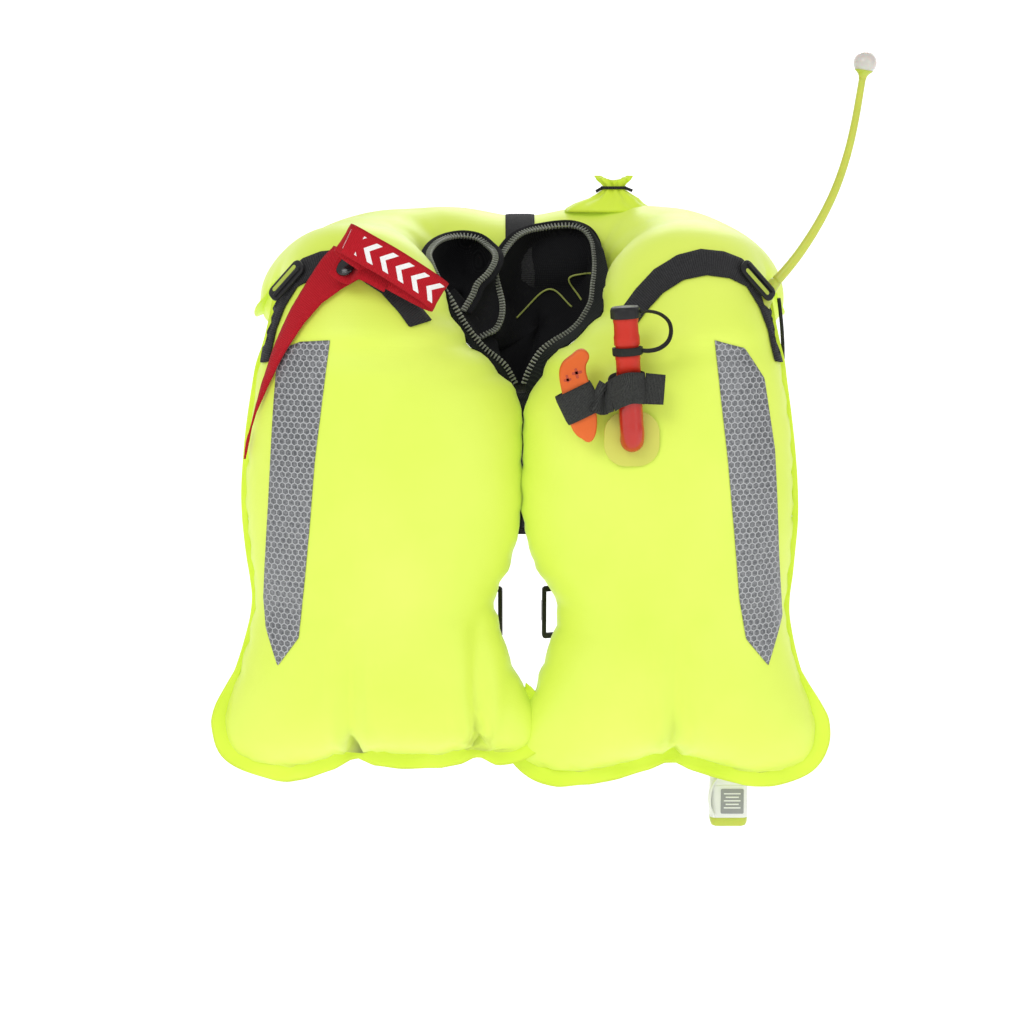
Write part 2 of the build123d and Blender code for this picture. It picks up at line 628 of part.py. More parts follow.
# Battery unit behind the lower edge of the port lobe.
BATTERY = Vector(172.5, -32, -352)
BATTERY_W = 31.0
BATTERY_D = 20.0
BATTERY_L = 82.0
with BuildPart() as battery:
    with BuildSketch(Plane(BATTERY)):
        RectangleRounded(BATTERY_W, BATTERY_D, 5)
    extrude(amount=-BATTERY_L)
    with BuildSketch(Plane(BATTERY - Vector(0, 0, 4))):
        RectangleRounded(BATTERY_W - 3, BATTERY_D - 3, 4)
    extrude(amount=-BATTERY_L, mode=Mode.SUBTRACT)
save(battery, "battery_housing")
with BuildPart() as battery_cap:
    with BuildSketch(Plane(BATTERY - Vector(0, 0, BATTERY_L))):
        RectangleRounded(BATTERY_W, BATTERY_D, 5)
    extrude(amount=-8, taper=8)
save(battery_cap, "battery_end_cap")
with BuildPart() as battery_cell:
    with BuildSketch(Plane(BATTERY - Vector(0, 0, 20))):
        Circle(7.2)
    extrude(amount=-50)
save(battery_cell, "battery_cell")

LEAD_ROUTE = [(204, -80, 0), (211, -69, -42), (207, -53, -88), (193, -41, -134), (184, -36, -183),
              (178, -33, -236), (174, -32, -290), (172.5, -32, -327), (172.5, -32, -352)]


def tangent_radii(route):
    """The largest arc that each corner's two runs allow."""
    radii = []
    for a, b, c in zip(route, route[1:], route[2:]):
        run_in, run_out = Vector(b) - Vector(a), Vector(c) - Vector(b)
        turn = radians(run_in.get_angle(run_out))
        radii.append(0.45 * min(run_in.length, run_out.length) / tan(turn / 2))
    return radii


LEAD_RADII = tangent_radii(LEAD_ROUTE)
print("lead radii", [round(r, 1) for r in LEAD_RADII])
with BuildPart() as light_lead:
    with BuildLine():
        lead_path = FilletPolyline(*LEAD_ROUTE, radius=LEAD_RADII)
    with BuildSketch(Plane(lead_path @ 0, z_dir=lead_path % 0)):
        Circle(LEAD_DIA / 2)
    sweep(path=lead_path)
lead_length = lead_path.length
print("lead length", round(lead_length, 1), "volume ratio",
      round(light_lead.part.volume / (3.14159 * (LEAD_DIA / 2) ** 2 * lead_length), 4))
save(light_lead, "light_lead")

# ---------------------------------------------------------------- inflator behind the starboard lobe
INFLATOR = Vector(-138, -7, -186)
MANIFOLD_Y = -27.4
with BuildPart() as valve_stem:
    with BuildSketch(Plane((INFLATOR.X, MANIFOLD_Y, INFLATOR.Z), x_dir=(1, 0, 0), z_dir=(0, 1, 0))):
        Circle(19)
    extrude(amount=1.6)
    with BuildSketch(Plane((INFLATOR.X, MANIFOLD_Y, INFLATOR.Z), x_dir=(1, 0, 0), z_dir=(0, 1, 0))):
        Circle(6)
    extrude(amount=INFLATOR.Y - 13.5 - MANIFOLD_Y)
save(valve_stem, "inflator_manifold")
with BuildPart() as inflator_body:
    with BuildSketch(Plane((INFLATOR.X, INFLATOR.Y, INFLATOR.Z - 30))):
        RectangleRounded(28, 27, 5)
    extrude(amount=58)
    with BuildSketch(Plane((INFLATOR.X, INFLATOR.Y, INFLATOR.Z - 30))):
        Circle(7.2)
    extrude(amount=16, mode=Mode.SUBTRACT)
    with BuildSketch(Plane((INFLATOR.X, INFLATOR.Y, INFLATOR.Z - 14))):
        Circle(3.0)
    extrude(amount=42, mode=Mode.SUBTRACT)
    with BuildSketch(Plane((INFLATOR.X, INFLATOR.Y, INFLATOR.Z + 9))):
        Circle(8.6)
    extrude(amount=19, mode=Mode.SUBTRACT)
    for level in (-1, 1):
        with BuildSketch(Plane((INFLATOR.X - 17, INFLATOR.Y + level * 6.2, INFLATOR.Z + 8), x_dir=(1, 0, 0),
                               z_dir=(0, 1, 0))):
            RectangleRounded(12, 8, 2)
        extrude(amount=0.9, both=True)
    with BuildSketch(Plane((INFLATOR.X - 19.5, INFLATOR.Y, INFLATOR.Z + 8), x_dir=(1, 0, 0), z_dir=(0, 1, 0))):
        Circle(1.8)
    extrude(amount=6, both=True)
save(inflator_body, "inflator_body")
with BuildPart() as auto_cap:
    with BuildSketch(Plane((INFLATOR.X, INFLATOR.Y, INFLATOR.Z + 28.4))):
        Circle(13)
    extrude(amount=17)
    chamfer(auto_cap.edges().group_by(Axis.Z)[-1], 2.5)
    with BuildSketch(Plane((INFLATOR.X, INFLATOR.Y, INFLATOR.Z + 20))):
        Circle(8.2)
    extrude(amount=8.4)
    with BuildSketch(Plane((INFLATOR.X, INFLATOR.Y, INFLATOR.Z + 20))):
        Circle(6.4)
    extrude(amount=20, mode=Mode.SUBTRACT)
save(auto_cap, "auto_head_cap")
with BuildPart() as bobbin:
    with BuildSketch(Plane((INFLATOR.X, INFLATOR.Y, INFLATOR.Z + 27))):
        Circle(6.0)
        Circle(1.6, mode=Mode.SUBTRACT)
    extrude(amount=12)
save(bobbin, "water_soluble_element")
with BuildPart() as piercing_pin:
    with BuildSketch(Plane((INFLATOR.X, INFLATOR.Y, INFLATOR.Z - 11))):
        Circle(1.4)
    extrude(amount=25)
    with BuildSketch(Plane((INFLATOR.X, INFLATOR.Y, INFLATOR.Z - 11))):
        Circle(1.4)
    extrude(amount=-2.5, taper=25)
    with BuildSketch(Plane((INFLATOR.X, INFLATOR.Y, INFLATOR.Z + 14))):
        Circle(5.4)
    extrude(amount=2)
save(piercing_pin, "piercing_pin")
with BuildPart() as pin_spring:
    with BuildLine(Plane((INFLATOR.X, INFLATOR.Y, INFLATOR.Z + 16.8))):
        pin_coil = Helix(pitch=2.2, height=8.8, radius=4.2)
    with BuildSketch(Plane(pin_coil @ 0, z_dir=pin_coil % 0)):
        Circle(0.5)
    sweep(is_frenet=True)
save(pin_spring, "piercing_spring")

CYLINDER_TOP = INFLATOR.Z - 30 - CLEAR
with BuildPart() as washer:
    with BuildSketch(Plane((INFLATOR.X, INFLATOR.Y, CYLINDER_TOP))):
        Circle(10)
        Circle(7.0, mode=Mode.SUBTRACT)
    extrude(amount=-2)
save(washer, "seal_washer")
CYLINDER_FOOT = CYLINDER_TOP - CO2_LENGTH
with BuildPart() as gas_cylinder:
    with BuildSketch(Plane((INFLATOR.X, INFLATOR.Y, 0), x_dir=(1, 0, 0), z_dir=(0, -1, 0))) as profile:
        with BuildLine():
            Polyline((0, CYLINDER_TOP + 12), (6.3, CYLINDER_TOP + 12), (6.3, CYLINDER_TOP - 6),
                     (CO2_R, CYLINDER_TOP - 22), (CO2_R, CYLINDER_FOOT), (0, CYLINDER_FOOT), close=True)
        make_face()
        fillet(profile.vertices().sort_by(Axis.X)[-2:], 8)
    revolve(axis=Axis((INFLATOR.X, INFLATOR.Y, 0), (0, 0, 1)))
    with BuildSketch(Plane((INFLATOR.X, INFLATOR.Y, CYLINDER_FOOT + 10))):
        Circle(CO2_R - 2)
    extrude(amount=CO2_LENGTH - 42, mode=Mode.SUBTRACT)
save(gas_cylinder, "gas_cylinder")

LEVER_PIVOT = Vector(INFLATOR.X - 19.5, INFLATOR.Y, INFLATOR.Z + 8)
ARM = (-11.0, 20.0)                   # cord hole, from the pivot
with BuildPart() as lever:
    with BuildSketch(Plane(LEVER_PIVOT, x_dir=(1, 0, 0), z_dir=(0, -1, 0))):
        Circle(4)
        with Locations(Location((ARM[0] / 2, ARM[1] / 2), degrees(atan(-ARM[0] / ARM[1])))):
            Rectangle(6, 23)
        with Locations(ARM):
            Circle(4.2)
            Circle(1.8, mode=Mode.SUBTRACT)
        Circle(2.1, mode=Mode.SUBTRACT)
    extrude(amount=4, both=True)
save(lever, "pull_lever")

TOGGLE_TOP = LEVER_PIVOT.Z - 70
CORD_R = 1.3
CORD = LEVER_PIVOT + Vector(ARM[0], 6.4, ARM[1])
with BuildPart() as pull_cord:
    with BuildSketch(Plane((CORD.X, CORD.Y, TOGGLE_TOP))):
        Circle(CORD_R)
    extrude(amount=CORD.Z + CORD_R - TOGGLE_TOP)
    with BuildSketch(Plane(CORD, x_dir=(1, 0, 0), z_dir=(0, -1, 0))):
        Circle(CORD_R)
    extrude(amount=12)
save(pull_cord, "pull_cord")
with BuildPart() as toggle:
    with BuildSketch(Plane((CORD.X, CORD.Y, TOGGLE_TOP))):
        RectangleRounded(10, 8, 3.5)
    with BuildSketch(Plane((CORD.X, CORD.Y, TOGGLE_TOP - 34))):
        RectangleRounded(15, 10, 4.5)
    loft()
save(toggle, "pull_toggle")

# ---------------------------------------------------------------- sprayhood pouch on the port shoulder
POUCH_X = 79.0
POUCH_Y = 96.0
with BuildPart() as pouch:
    with BuildSketch(Plane((POUCH_X - 4, POUCH_Y, 69.5))):
        Ellipse(34, 22)
    with BuildSketch(Plane((POUCH_X, POUCH_Y, 77))):
        Ellipse(16, 13)
    with BuildSketch(Plane((POUCH_X, POUCH_Y, 83))):
        Ellipse(8, 7)
    loft()
    with BuildSketch(Plane((POUCH_X, POUCH_Y, 83))):
        Ellipse(7, 6)
    with BuildSketch(Plane((POUCH_X, POUCH_Y, 94))):
        Ellipse(11, 8)
    loft()
save(pouch, "sprayhood_pouch")
with BuildPart() as pouch_tie:
    with BuildSketch(Plane((POUCH_X, POUCH_Y, 84))):
        Ellipse(10, 8.5)
        Ellipse(8.2, 7.2, mode=Mode.SUBTRACT)
    extrude(amount=2.4)
save(pouch_tie, "sprayhood_tie")
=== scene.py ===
"""Inflatable life jacket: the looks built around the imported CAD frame.

Shapes are worked out in millimetres in the row frame (+X port, +Y to the back, +Z up)
and become metres when a mesh is made.
"""

import json
import math

import bpy
import numpy as np
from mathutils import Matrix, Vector, geometry
from mathutils.bvhtree import BVHTree


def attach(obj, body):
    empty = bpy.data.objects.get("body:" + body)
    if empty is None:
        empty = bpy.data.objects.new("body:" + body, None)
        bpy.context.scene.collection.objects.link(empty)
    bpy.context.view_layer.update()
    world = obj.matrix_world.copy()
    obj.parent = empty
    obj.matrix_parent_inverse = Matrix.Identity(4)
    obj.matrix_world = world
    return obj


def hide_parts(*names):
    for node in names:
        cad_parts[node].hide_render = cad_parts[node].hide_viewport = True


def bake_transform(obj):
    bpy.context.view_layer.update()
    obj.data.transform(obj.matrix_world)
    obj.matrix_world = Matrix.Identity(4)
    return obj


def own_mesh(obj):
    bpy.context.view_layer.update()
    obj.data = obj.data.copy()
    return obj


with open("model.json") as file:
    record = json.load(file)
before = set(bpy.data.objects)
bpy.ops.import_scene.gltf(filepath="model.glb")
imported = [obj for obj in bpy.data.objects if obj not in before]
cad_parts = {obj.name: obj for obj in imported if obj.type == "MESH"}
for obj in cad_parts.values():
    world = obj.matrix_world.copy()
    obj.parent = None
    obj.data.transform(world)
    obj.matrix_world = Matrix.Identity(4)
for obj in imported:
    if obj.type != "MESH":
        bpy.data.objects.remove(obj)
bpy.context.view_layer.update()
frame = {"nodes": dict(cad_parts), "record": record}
MM = 0.001
rng = np.random.default_rng(11)

# ------------------------------------------------------------------ camera, light, floor
cam_data = bpy.data.cameras.new("camera")
cam_data.sensor_width = 36
cam_data.lens = 92.3
camera = bpy.data.objects.new("camera", cam_data)
camera.location = (-0.008, -2.1696, 0.1223)
camera.rotation_euler = (math.radians(82), 0, 0)
bpy.context.scene.collection.objects.link(camera)
bpy.context.scene.camera = camera


def area_light(name, place, aim, size, power):
    data = bpy.data.lights.new(name, "AREA")
    data.shape = "DISK"
    data.size = size
    data.energy = power
    lamp = bpy.data.objects.new(name, data)
    lamp.location = place
    lamp.rotation_euler = (Vector(aim) - Vector(place)).to_track_quat("-Z", "Y").to_euler()
    bpy.context.scene.collection.objects.link(lamp)


area_light("key", (-1.1, -2.4, 1.7), (0, -0.05, -0.15), 1.5, 25)
area_light("fill", (1.7, -2.0, 0.5), (0, -0.05, -0.15), 1.8, 8)
area_light("rim", (0.4, 2.2, 1.6), (0, 0, -0.1), 1.6, 16)
world = bpy.data.worlds.new("studio")
world.use_nodes = True
backdrop = world.node_tree.nodes["Background"]
backdrop.inputs[0].default_value = (1, 1, 1, 1)
# Pure white behind the jacket, a softer white as light on it.
seen = world.node_tree.nodes.new("ShaderNodeLightPath")
strength = world.node_tree.nodes.new("ShaderNodeMapRange")
strength.inputs["To Min"].default_value = 0.62
strength.inputs["To Max"].default_value = 1.0
world.node_tree.links.new(seen.outputs["Is Camera Ray"], strength.inputs["Value"])
world.node_tree.links.new(strength.outputs["Result"], backdrop.inputs[1])
bpy.context.scene.world = world
bpy.context.scene.view_settings.view_transform = "Standard"


# ------------------------------------------------------------------ material kit
class Graph:
    """A small helper that adds shader nodes and links them."""

    def __init__(self, name, color, rough, **sockets):
        self.material = bpy.data.materials.new(name)
        self.material.use_nodes = True
        self.tree = self.material.node_tree
        self.shader = self.tree.nodes["Principled BSDF"]
        self.shader.inputs["Base Color"].default_value = (*color, 1)
        self.shader.inputs["Roughness"].default_value = rough
        for key, value in sockets.items():
            self.shader.inputs[key.replace("_", " ")].default_value = value

    def node(self, kind, operation=None, inputs=(), **settings):
        made = self.tree.nodes.new(kind)
        if operation:
            made.operation = operation
        for key, value in settings.items():
            setattr(made, key, value)
        for socket, value in zip(made.inputs, inputs):
            self.feed(socket, value)
        return made

    def feed(self, socket, value):
        if isinstance(value, bpy.types.NodeSocket):
            self.tree.links.new(value, socket)
        else:
            socket.default_value = value

    def math(self, operation, *inputs):
        return self.node("ShaderNodeMath", operation, inputs).outputs[0]

    def add(self, a, b):
        return self.math("ADD", a, b)

    def times(self, a, b):
        return self.math("MULTIPLY", a, b)

    def vector(self, operation, *inputs):
        made = self.node("ShaderNodeVectorMath", operation, inputs)
        return made.outputs["Value"] if operation in ("DOT_PRODUCT", "LENGTH") else made.outputs[0]

    def place(self):
        """Object coordinates, which are metres in the row frame."""
        return self.node("ShaderNodeTexCoord").outputs["Object"]

    def lay(self):
        """Coordinates of a strap in millimetres: x along it, y across it."""
        return self.node("ShaderNodeAttribute", attribute_name="lay").outputs["Vector"]

    def noise(self, vector, scale, detail=3.0):
        made = self.node("ShaderNodeTexNoise")
        for key, value in (("Vector", vector), ("Scale", scale), ("Detail", detail)):
            self.feed(made.inputs[key], value)
        return made.outputs["Fac"]

    def ramp(self, factor, low, high, color_low, color_high):
        made = self.node("ShaderNodeValToRGB", inputs=[factor])
        first, last = made.color_ramp.elements
        first.position, last.position = low, high
        first.color, last.color = (*color_low, 1), (*color_high, 1)
        return made.outputs["Color"]

    def mix(self, factor, a, b):
        made = self.node("ShaderNodeMix", data_type="RGBA")
        for key, value in (("Factor", factor), (6, a), (7, b)):
            self.feed(made.inputs[key], (*value, 1) if isinstance(value, tuple) else value)
        return made.outputs[2]

    def color(self, socket):
        self.feed(self.shader.inputs["Base Color"], socket)

    def rough(self, socket, low, high):
        made = self.node("ShaderNodeMapRange", inputs=[socket, 0.0, 1.0, low, high])
        self.feed(self.shader.inputs["Roughness"], made.outputs[0])

    def bump(self, height, strength, distance=0.0004):
        made = self.node("ShaderNodeBump")
        for key, value in (("Strength", strength), ("Distance", distance), ("Height", height)):
            self.feed(made.inputs[key], value)
        self.feed(self.shader.inputs["Normal"], made.outputs[0])

    def wave(self, value, pitch):
        """Sine ridges of the given pitch, from 0 to 1."""
        turned = self.math("SINE", self.times(value, 2 * math.pi / pitch))
        return self.math("MULTIPLY_ADD", turned, 0.5, 0.5)

    def split(self, vector):
        return self.node("ShaderNodeSeparateXYZ", inputs=[vector]).outputs


def coated_fabric(name, color, shade, painted_glow=0.0):
    """Smooth coated bladder cloth: fine taffeta weave, slight cloudiness, soft sheen, and an optional painted
    glow (emission in its own colour).
    """
    g = Graph(name, color, 0.42, Sheen_Weight=0.12, Sheen_Roughness=0.4, Specular_IOR_Level=0.35)
    place = g.place()
    cloud = g.noise(place, 9.0, 4.0)
    g.color(g.ramp(cloud, 0.3, 0.7, shade, color))
    g.rough(g.noise(place, 60.0), 0.36, 0.5)
    x, y, z = g.split(place)
    weave = g.add(g.wave(g.add(x, y), 0.0011), g.wave(z, 0.0011))
    crinkle = g.times(g.noise(place, 130.0, 5.0), 3.0)
    g.bump(g.add(weave, crinkle), 0.10)
    # Painted glow: the cloth emits light in its own colour, so it shines with no lamp on it.
    if painted_glow:
        g.shader.inputs["Emission Color"].default_value = (*color, 1)
        g.shader.inputs["Emission Strength"].default_value = painted_glow
    return g.material


def webbing(name, color, light, rib=1.7, mark=None):
    """Woven strap: cross ribs, warp twill and worn light threads, with optional chevrons."""
    g = Graph(name, color, 0.82, Sheen_Weight=0.04, Sheen_Roughness=0.5, Specular_IOR_Level=0.12)
    lay = g.lay()
    along, across, _ = g.split(lay)
    ribs = g.wave(along, rib)
    warp = g.wave(g.math("MULTIPLY_ADD", across, 1.0, g.times(along, 0.5)), rib * 0.62)
    weave = g.add(ribs, g.times(warp, 0.6))
    speck = g.noise(g.place(), 900.0, 2.0)
    base = g.ramp(g.math("MULTIPLY_ADD", speck, 0.6, g.times(weave, 0.25)), 0.25, 0.8, color, light)
    if mark:
        start, end, pitch, colour = mark
        folded = g.math("SUBTRACT", along, g.times(g.math("ABSOLUTE", across), 0.9))
        stripe = g.math("LESS_THAN", g.math("FLOORED_MODULO", folded, pitch), pitch * 0.36)
        inside = g.math("LESS_THAN", g.math("ABSOLUTE", across), 8.0)
        after = g.math("GREATER_THAN", along, start)
        before = g.math("LESS_THAN", along, end)
        mask = g.times(g.times(stripe, inside), g.times(after, before))
        base = g.mix(mask, base, colour)
    g.color(base)
    g.bump(weave, 0.55, 0.0005)
    return g.material


def honeycomb_tape(name):
    """Retroreflective film: grey cells, white hexagon walls of 5 mm pitch, faint scuffs."""
    g = Graph(name, (0.35, 0.36, 0.37), 0.33, Metallic=0.25)
    place = g.place()
    x, _, z = g.split(place)
    cell = 0.0050
    step = (1.0, 1.7320508, 1.0)
    cells_at = [g.math("DIVIDE", x, cell), g.math("DIVIDE", z, cell), 0.0]
    point = g.node("ShaderNodeCombineXYZ", inputs=cells_at).outputs[0]
    scaled = g.vector("DIVIDE", point, step)
    halves = []
    for shift in (0.0, 0.5):
        part = g.vector("FRACTION", g.vector("ADD", scaled, (shift, shift, 0.0)))
        halves.append(g.vector("MULTIPLY", g.vector("SUBTRACT", part, (0.5, 0.5, 0.0)), step))
    sizes = [g.vector("DOT_PRODUCT", half, half) for half in halves]
    nearer = g.math("LESS_THAN", sizes[0], sizes[1])
    picked = g.node("ShaderNodeMix", data_type="VECTOR")
    for key, value in (("Factor", nearer), (4, halves[1]), (5, halves[0])):
        g.feed(picked.inputs[key], value)
    px, py, _ = g.split(g.vector("ABSOLUTE", picked.outputs[1]))
    slope = g.add(g.times(px, 0.5), g.times(py, 0.8660254))
    reach = g.math("MAXIMUM", slope, px)
    wall = g.node("ShaderNodeMapRange", inputs=[reach, 0.405, 0.45, 0.0, 1.0]).outputs[0]
    dots = g.noise(place, 520.0, 2.0)
    cells = g.ramp(dots, 0.35, 0.7, (0.10, 0.105, 0.112), (0.24, 0.245, 0.255))
    g.color(g.mix(wall, cells, (0.44, 0.45, 0.46)))
    g.rough(wall, 0.3, 0.55)
    g.bump(g.add(g.times(wall, -1.0), g.times(dots, 0.4)), 0.3)
    return g.material


def knit(name, color, light, pitch=0.0016):
    """Dark lining cloth with a fine mesh and dusty highlights."""
    g = Graph(name, color, 0.8, Sheen_Weight=0.03, Sheen_Roughness=0.4, Specular_IOR_Level=0.08)
    place = g.place()
    x, y, z = g.split(place)
    mesh = g.times(g.wave(g.add(x, y), pitch), g.wave(g.add(z, y), pitch))
    dust = g.noise(place, 35.0, 4.0)
    g.color(g.mix(g.times(mesh, dust), color, light))
    g.bump(g.add(mesh, dust), 0.5, 0.0005)
    return g.material


def moulded(name, color, shade, rough=0.35, grain=0.12, **more):
    """Moulded plastic: fine grain, slight tone change, worn gloss."""
    g = Graph(name, color, rough, **more)
    place = g.place()
    g.color(g.ramp(g.noise(place, 28.0, 5.0), 0.3, 0.7, shade, color))
    fine = g.noise(place, 700.0, 2.0)
    g.rough(g.noise(place, 45.0), rough * 0.8, min(1.0, rough * 1.3))
    g.bump(fine, grain, 0.0003)
    return g.material


def metal(name, color, rough):
    g = Graph(name, color, rough, Metallic=1.0)
    place = g.place()
    x, y, z = g.split(place)
    stretched = [g.times(x, 900.0), g.times(y, 900.0), g.times(z, 30.0)]
    drawn = g.node("ShaderNodeCombineXYZ", inputs=stretched).outputs[0]
    lines = g.noise(drawn, 1.0, 3.0)
    g.rough(lines, rough * 0.7, rough * 1.4)
    g.bump(lines, 0.15, 0.0002)
    return g.material


YELLOW = (0.70, 0.83, 0.120)
M = {
    # Both bladder cloths carry a small painted glow (emission 0.08).
    "yellow": coated_fabric("bladder_cloth", YELLOW, (0.64, 0.80, 0.085), 0.08),
    "flange": coated_fabric("weld_cloth", (0.67, 0.84, 0.06), (0.61, 0.79, 0.04), 0.08),
    "tape": honeycomb_tape("honeycomb_film"),
    "black_web": webbing("black_webbing", (0.012, 0.012, 0.013), (0.05, 0.05, 0.052)),
    "hook_web": webbing("hook_and_loop", (0.012, 0.013, 0.012), (0.07, 0.072, 0.068), rib=1.1),
    "red_web": webbing("red_webbing", (0.38, 0.006, 0.012), (0.52, 0.014, 0.026), rib=1.5),
    "loop_web": webbing("loop_webbing", (0.38, 0.006, 0.012), (0.52, 0.014, 0.026), rib=1.5,
                        mark=(10.0, 82.0, 14.0, (0.86, 0.86, 0.85))),
    "lining": knit("dark_lining", (0.006, 0.006, 0.007), (0.030, 0.031, 0.033)),
    "neoprene": knit("cover_cloth", (0.010, 0.012, 0.011), (0.045, 0.050, 0.046), 0.0022),
    "teeth": moulded("zip_teeth", (0.24, 0.25, 0.21), (0.15, 0.16, 0.13), 0.42),
    "black": moulded("black_moulding", (0.010, 0.010, 0.011), (0.018, 0.018, 0.019), 0.42,
                     Specular_IOR_Level=0.25),
    "gloss": moulded("black_snap", (0.008, 0.008, 0.009), (0.014, 0.014, 0.015), 0.16, 0.03),
    "rubber": moulded("black_rubber", (0.012, 0.013, 0.011), (0.020, 0.021, 0.018), 0.6, 0.25,
                      Specular_IOR_Level=0.2),
    "red": moulded("red_rubber", (0.60, 0.030, 0.012), (0.52, 0.022, 0.010), 0.42, 0.14,
                   Specular_IOR_Level=0.3),
    "red_gloss": moulded("red_gloss", (0.52, 0.016, 0.008), (0.46, 0.012, 0.006), 0.22, 0.02,
                         Coat_Weight=0.12),
    "orange": moulded("orange_plastic", (0.74, 0.145, 0.022), (0.66, 0.115, 0.016), 0.42, 0.10,
                      Specular_IOR_Level=0.3),
    "lime": moulded("lime_plastic", (0.50, 0.58, 0.07), (0.44, 0.52, 0.05), 0.36, 0.06,
                    Subsurface_Weight=0.1),
    "piping": moulded("lime_piping", (0.45, 0.52, 0.10), (0.30, 0.34, 0.08), 0.5),
    "lens": moulded("frosted_lens", (0.60, 0.61, 0.57), (0.50, 0.51, 0.47), 0.18, 0.04, Subsurface_Weight=0.3,
                    Coat_Weight=0.4),
    "white": moulded("white_plastic", (0.80, 0.81, 0.80), (0.72, 0.73, 0.72), 0.34, 0.05),
    "label": moulded("grey_label", (0.30, 0.31, 0.32), (0.24, 0.25, 0.26), 0.5, 0.05),
    "patch": moulded("valve_patch", (0.62, 0.63, 0.10), (0.57, 0.59, 0.08), 0.42, 0.10),
    "steel": metal("brushed_steel", (0.55, 0.56, 0.57), 0.32),
    "cylinder": moulded("cylinder_paint", (0.22, 0.24, 0.25), (0.17, 0.19, 0.20), 0.3, 0.08, Metallic=0.4),
}
CAD_FINISH = {
    "yellow_bladder": "yellow", "reflective": "tape", "dark_fabric": "neoprene", "black_webbing": "black_web",
    "red_webbing": "red_web", "black_plastic": "black", "black_gloss": "gloss", "zip_plastic": "teeth",
    "white_plastic": "white", "lime_plastic": "lime", "red_plastic": "red", "whistle_plastic": "orange",
    "valve_plastic": "black", "flange_plastic": "patch", "lens": "lens", "black_rubber": "rubber",
    "steel": "steel", "painted_cylinder": "cylinder",
}
SLOT_OF = {entry["node"]: entry["material_slot"] for entry in frame["record"]["subparts"]}
for label, cad_node in frame["nodes"].items():
    for place in cad_node.material_slots:
        place.material = M[CAD_FINISH[SLOT_OF[label]]]


# ------------------------------------------------------------------ mesh kit
FRONT = ((1, 0, 0), (0, 0, 1), (0, -1, 0))          # directions of a plane that faces the viewer


def metres(p):
    return tuple(np.asarray(p, float) * MM)


def unit(v):
    v = np.asarray(v, float)
    size = np.linalg.norm(v, axis=-1, keepdims=True)
    return v / np.where(size < 1e-12, 1, size)


def finish(name, verts, faces, finish_name, stands_for=(), body="jacket", slot=None, lay=None, smooth=True):
    """Make one piece from millimetre points, with its material, the CAD nodes it replaces and its body."""
    mesh = bpy.data.meshes.new(name)
    mesh.from_pydata([tuple(v) for v in np.asarray(verts, float) * MM], [],
                     [tuple(int(i) for i in f) for f in faces])
    mesh.validate()
    mesh.polygons.foreach_set("use_smooth", [smooth] * len(mesh.polygons))
    mesh.materials.append(M[finish_name])
    if lay is not None:
        coords = np.zeros((len(verts), 3))
        coords[:, : np.shape(lay)[1]] = lay
        held = mesh.attributes.new("lay", "FLOAT_VECTOR", "POINT")
        held.data.foreach_set("vector", coords.astype(np.float32).ravel())
    piece = bpy.data.objects.new(name, mesh)
    bpy.context.scene.collection.objects.link(piece)
    if body:
        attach(piece, body)
    if stands_for:
        nodes = [stands_for] if isinstance(stands_for, str) else stands_for
        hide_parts(*nodes)
        slot = slot or SLOT_OF[nodes[0]]
    return piece


def sharpen(piece, degrees=35):
    """Smooth shading with creases kept sharp."""
    piece.data.set_sharp_from_angle(angle=math.radians(degrees))
    return piece


def bevel(piece, width, segments=2, degrees=30):
    """Round the edges of a piece by a width in millimetres."""
    mod = piece.modifiers.new("bevel", "BEVEL")
    mod.width = width * MM
    mod.segments = segments
    mod.limit_method = "ANGLE"
    mod.angle_limit = math.radians(degrees)
    bpy.context.view_layer.update()
    graph = bpy.context.evaluated_depsgraph_get()
    rounded = piece.evaluated_get(graph)
    piece.data = bpy.data.meshes.new_from_object(rounded, preserve_all_data_layers=True, depsgraph=graph)
    piece.modifiers.clear()


def spline(points, step=None, count=None):
    """Smooth line through points of any width, resampled evenly along its first three numbers."""
    p = np.asarray(points, float)
    if len(p) == 2:
        dense = np.linspace(p[0], p[1], 60)
    else:
        t = np.concatenate([[0], np.cumsum(np.sqrt(np.linalg.norm(np.diff(p[:, :3], axis=0), axis=1)))])
        rate = np.diff(p, axis=0) / np.diff(t)[:, None]
        slope = np.empty_like(p)
        slope[0], slope[-1] = rate[0], rate[-1]
        gap = np.diff(t)
        slope[1:-1] = (rate[:-1] * gap[1:, None] + rate[1:] * gap[:-1, None]) / (gap[1:] + gap[:-1])[:, None]
        dense = []
        for i in range(len(p) - 1):
            s = np.linspace(0, 1, 24, endpoint=i == len(p) - 2)[:, None]
            h = gap[i]
            dense.append((2 * s**3 - 3 * s**2 + 1) * p[i] + (s**3 - 2 * s**2 + s) * h * slope[i]
                         + (3 * s**2 - 2 * s**3) * p[i + 1] + (s**3 - s**2) * h * slope[i + 1])
        dense = np.concatenate(dense)
    run = np.concatenate([[0], np.cumsum(np.linalg.norm(np.diff(dense[:, :3], axis=0), axis=1))])
    if count is None:
        count = max(2, int(round(run[-1] / step)) + 1)
    at = np.linspace(0, run[-1], count)
    return np.stack([np.interp(at, run, dense[:, k]) for k in range(p.shape[1])], 1)


def lengths(points):
    return np.concatenate([[0], np.cumsum(np.linalg.norm(np.diff(points, axis=0), axis=1))])


def turn(count):
    """Angles once round, the last one short of the first."""
    return np.linspace(0, 2 * math.pi, count, endpoint=False)


def circle(count, x, y):
    """A ring of points in the plane of the two radii x and y."""
    a = turn(count)[:, None]
    return np.cos(a) * x + np.sin(a) * y


def tangents(points, closed=False):
    if closed:
        return unit(np.roll(points, -1, 0) - np.roll(points, 1, 0))
    return unit(np.gradient(points, axis=0))


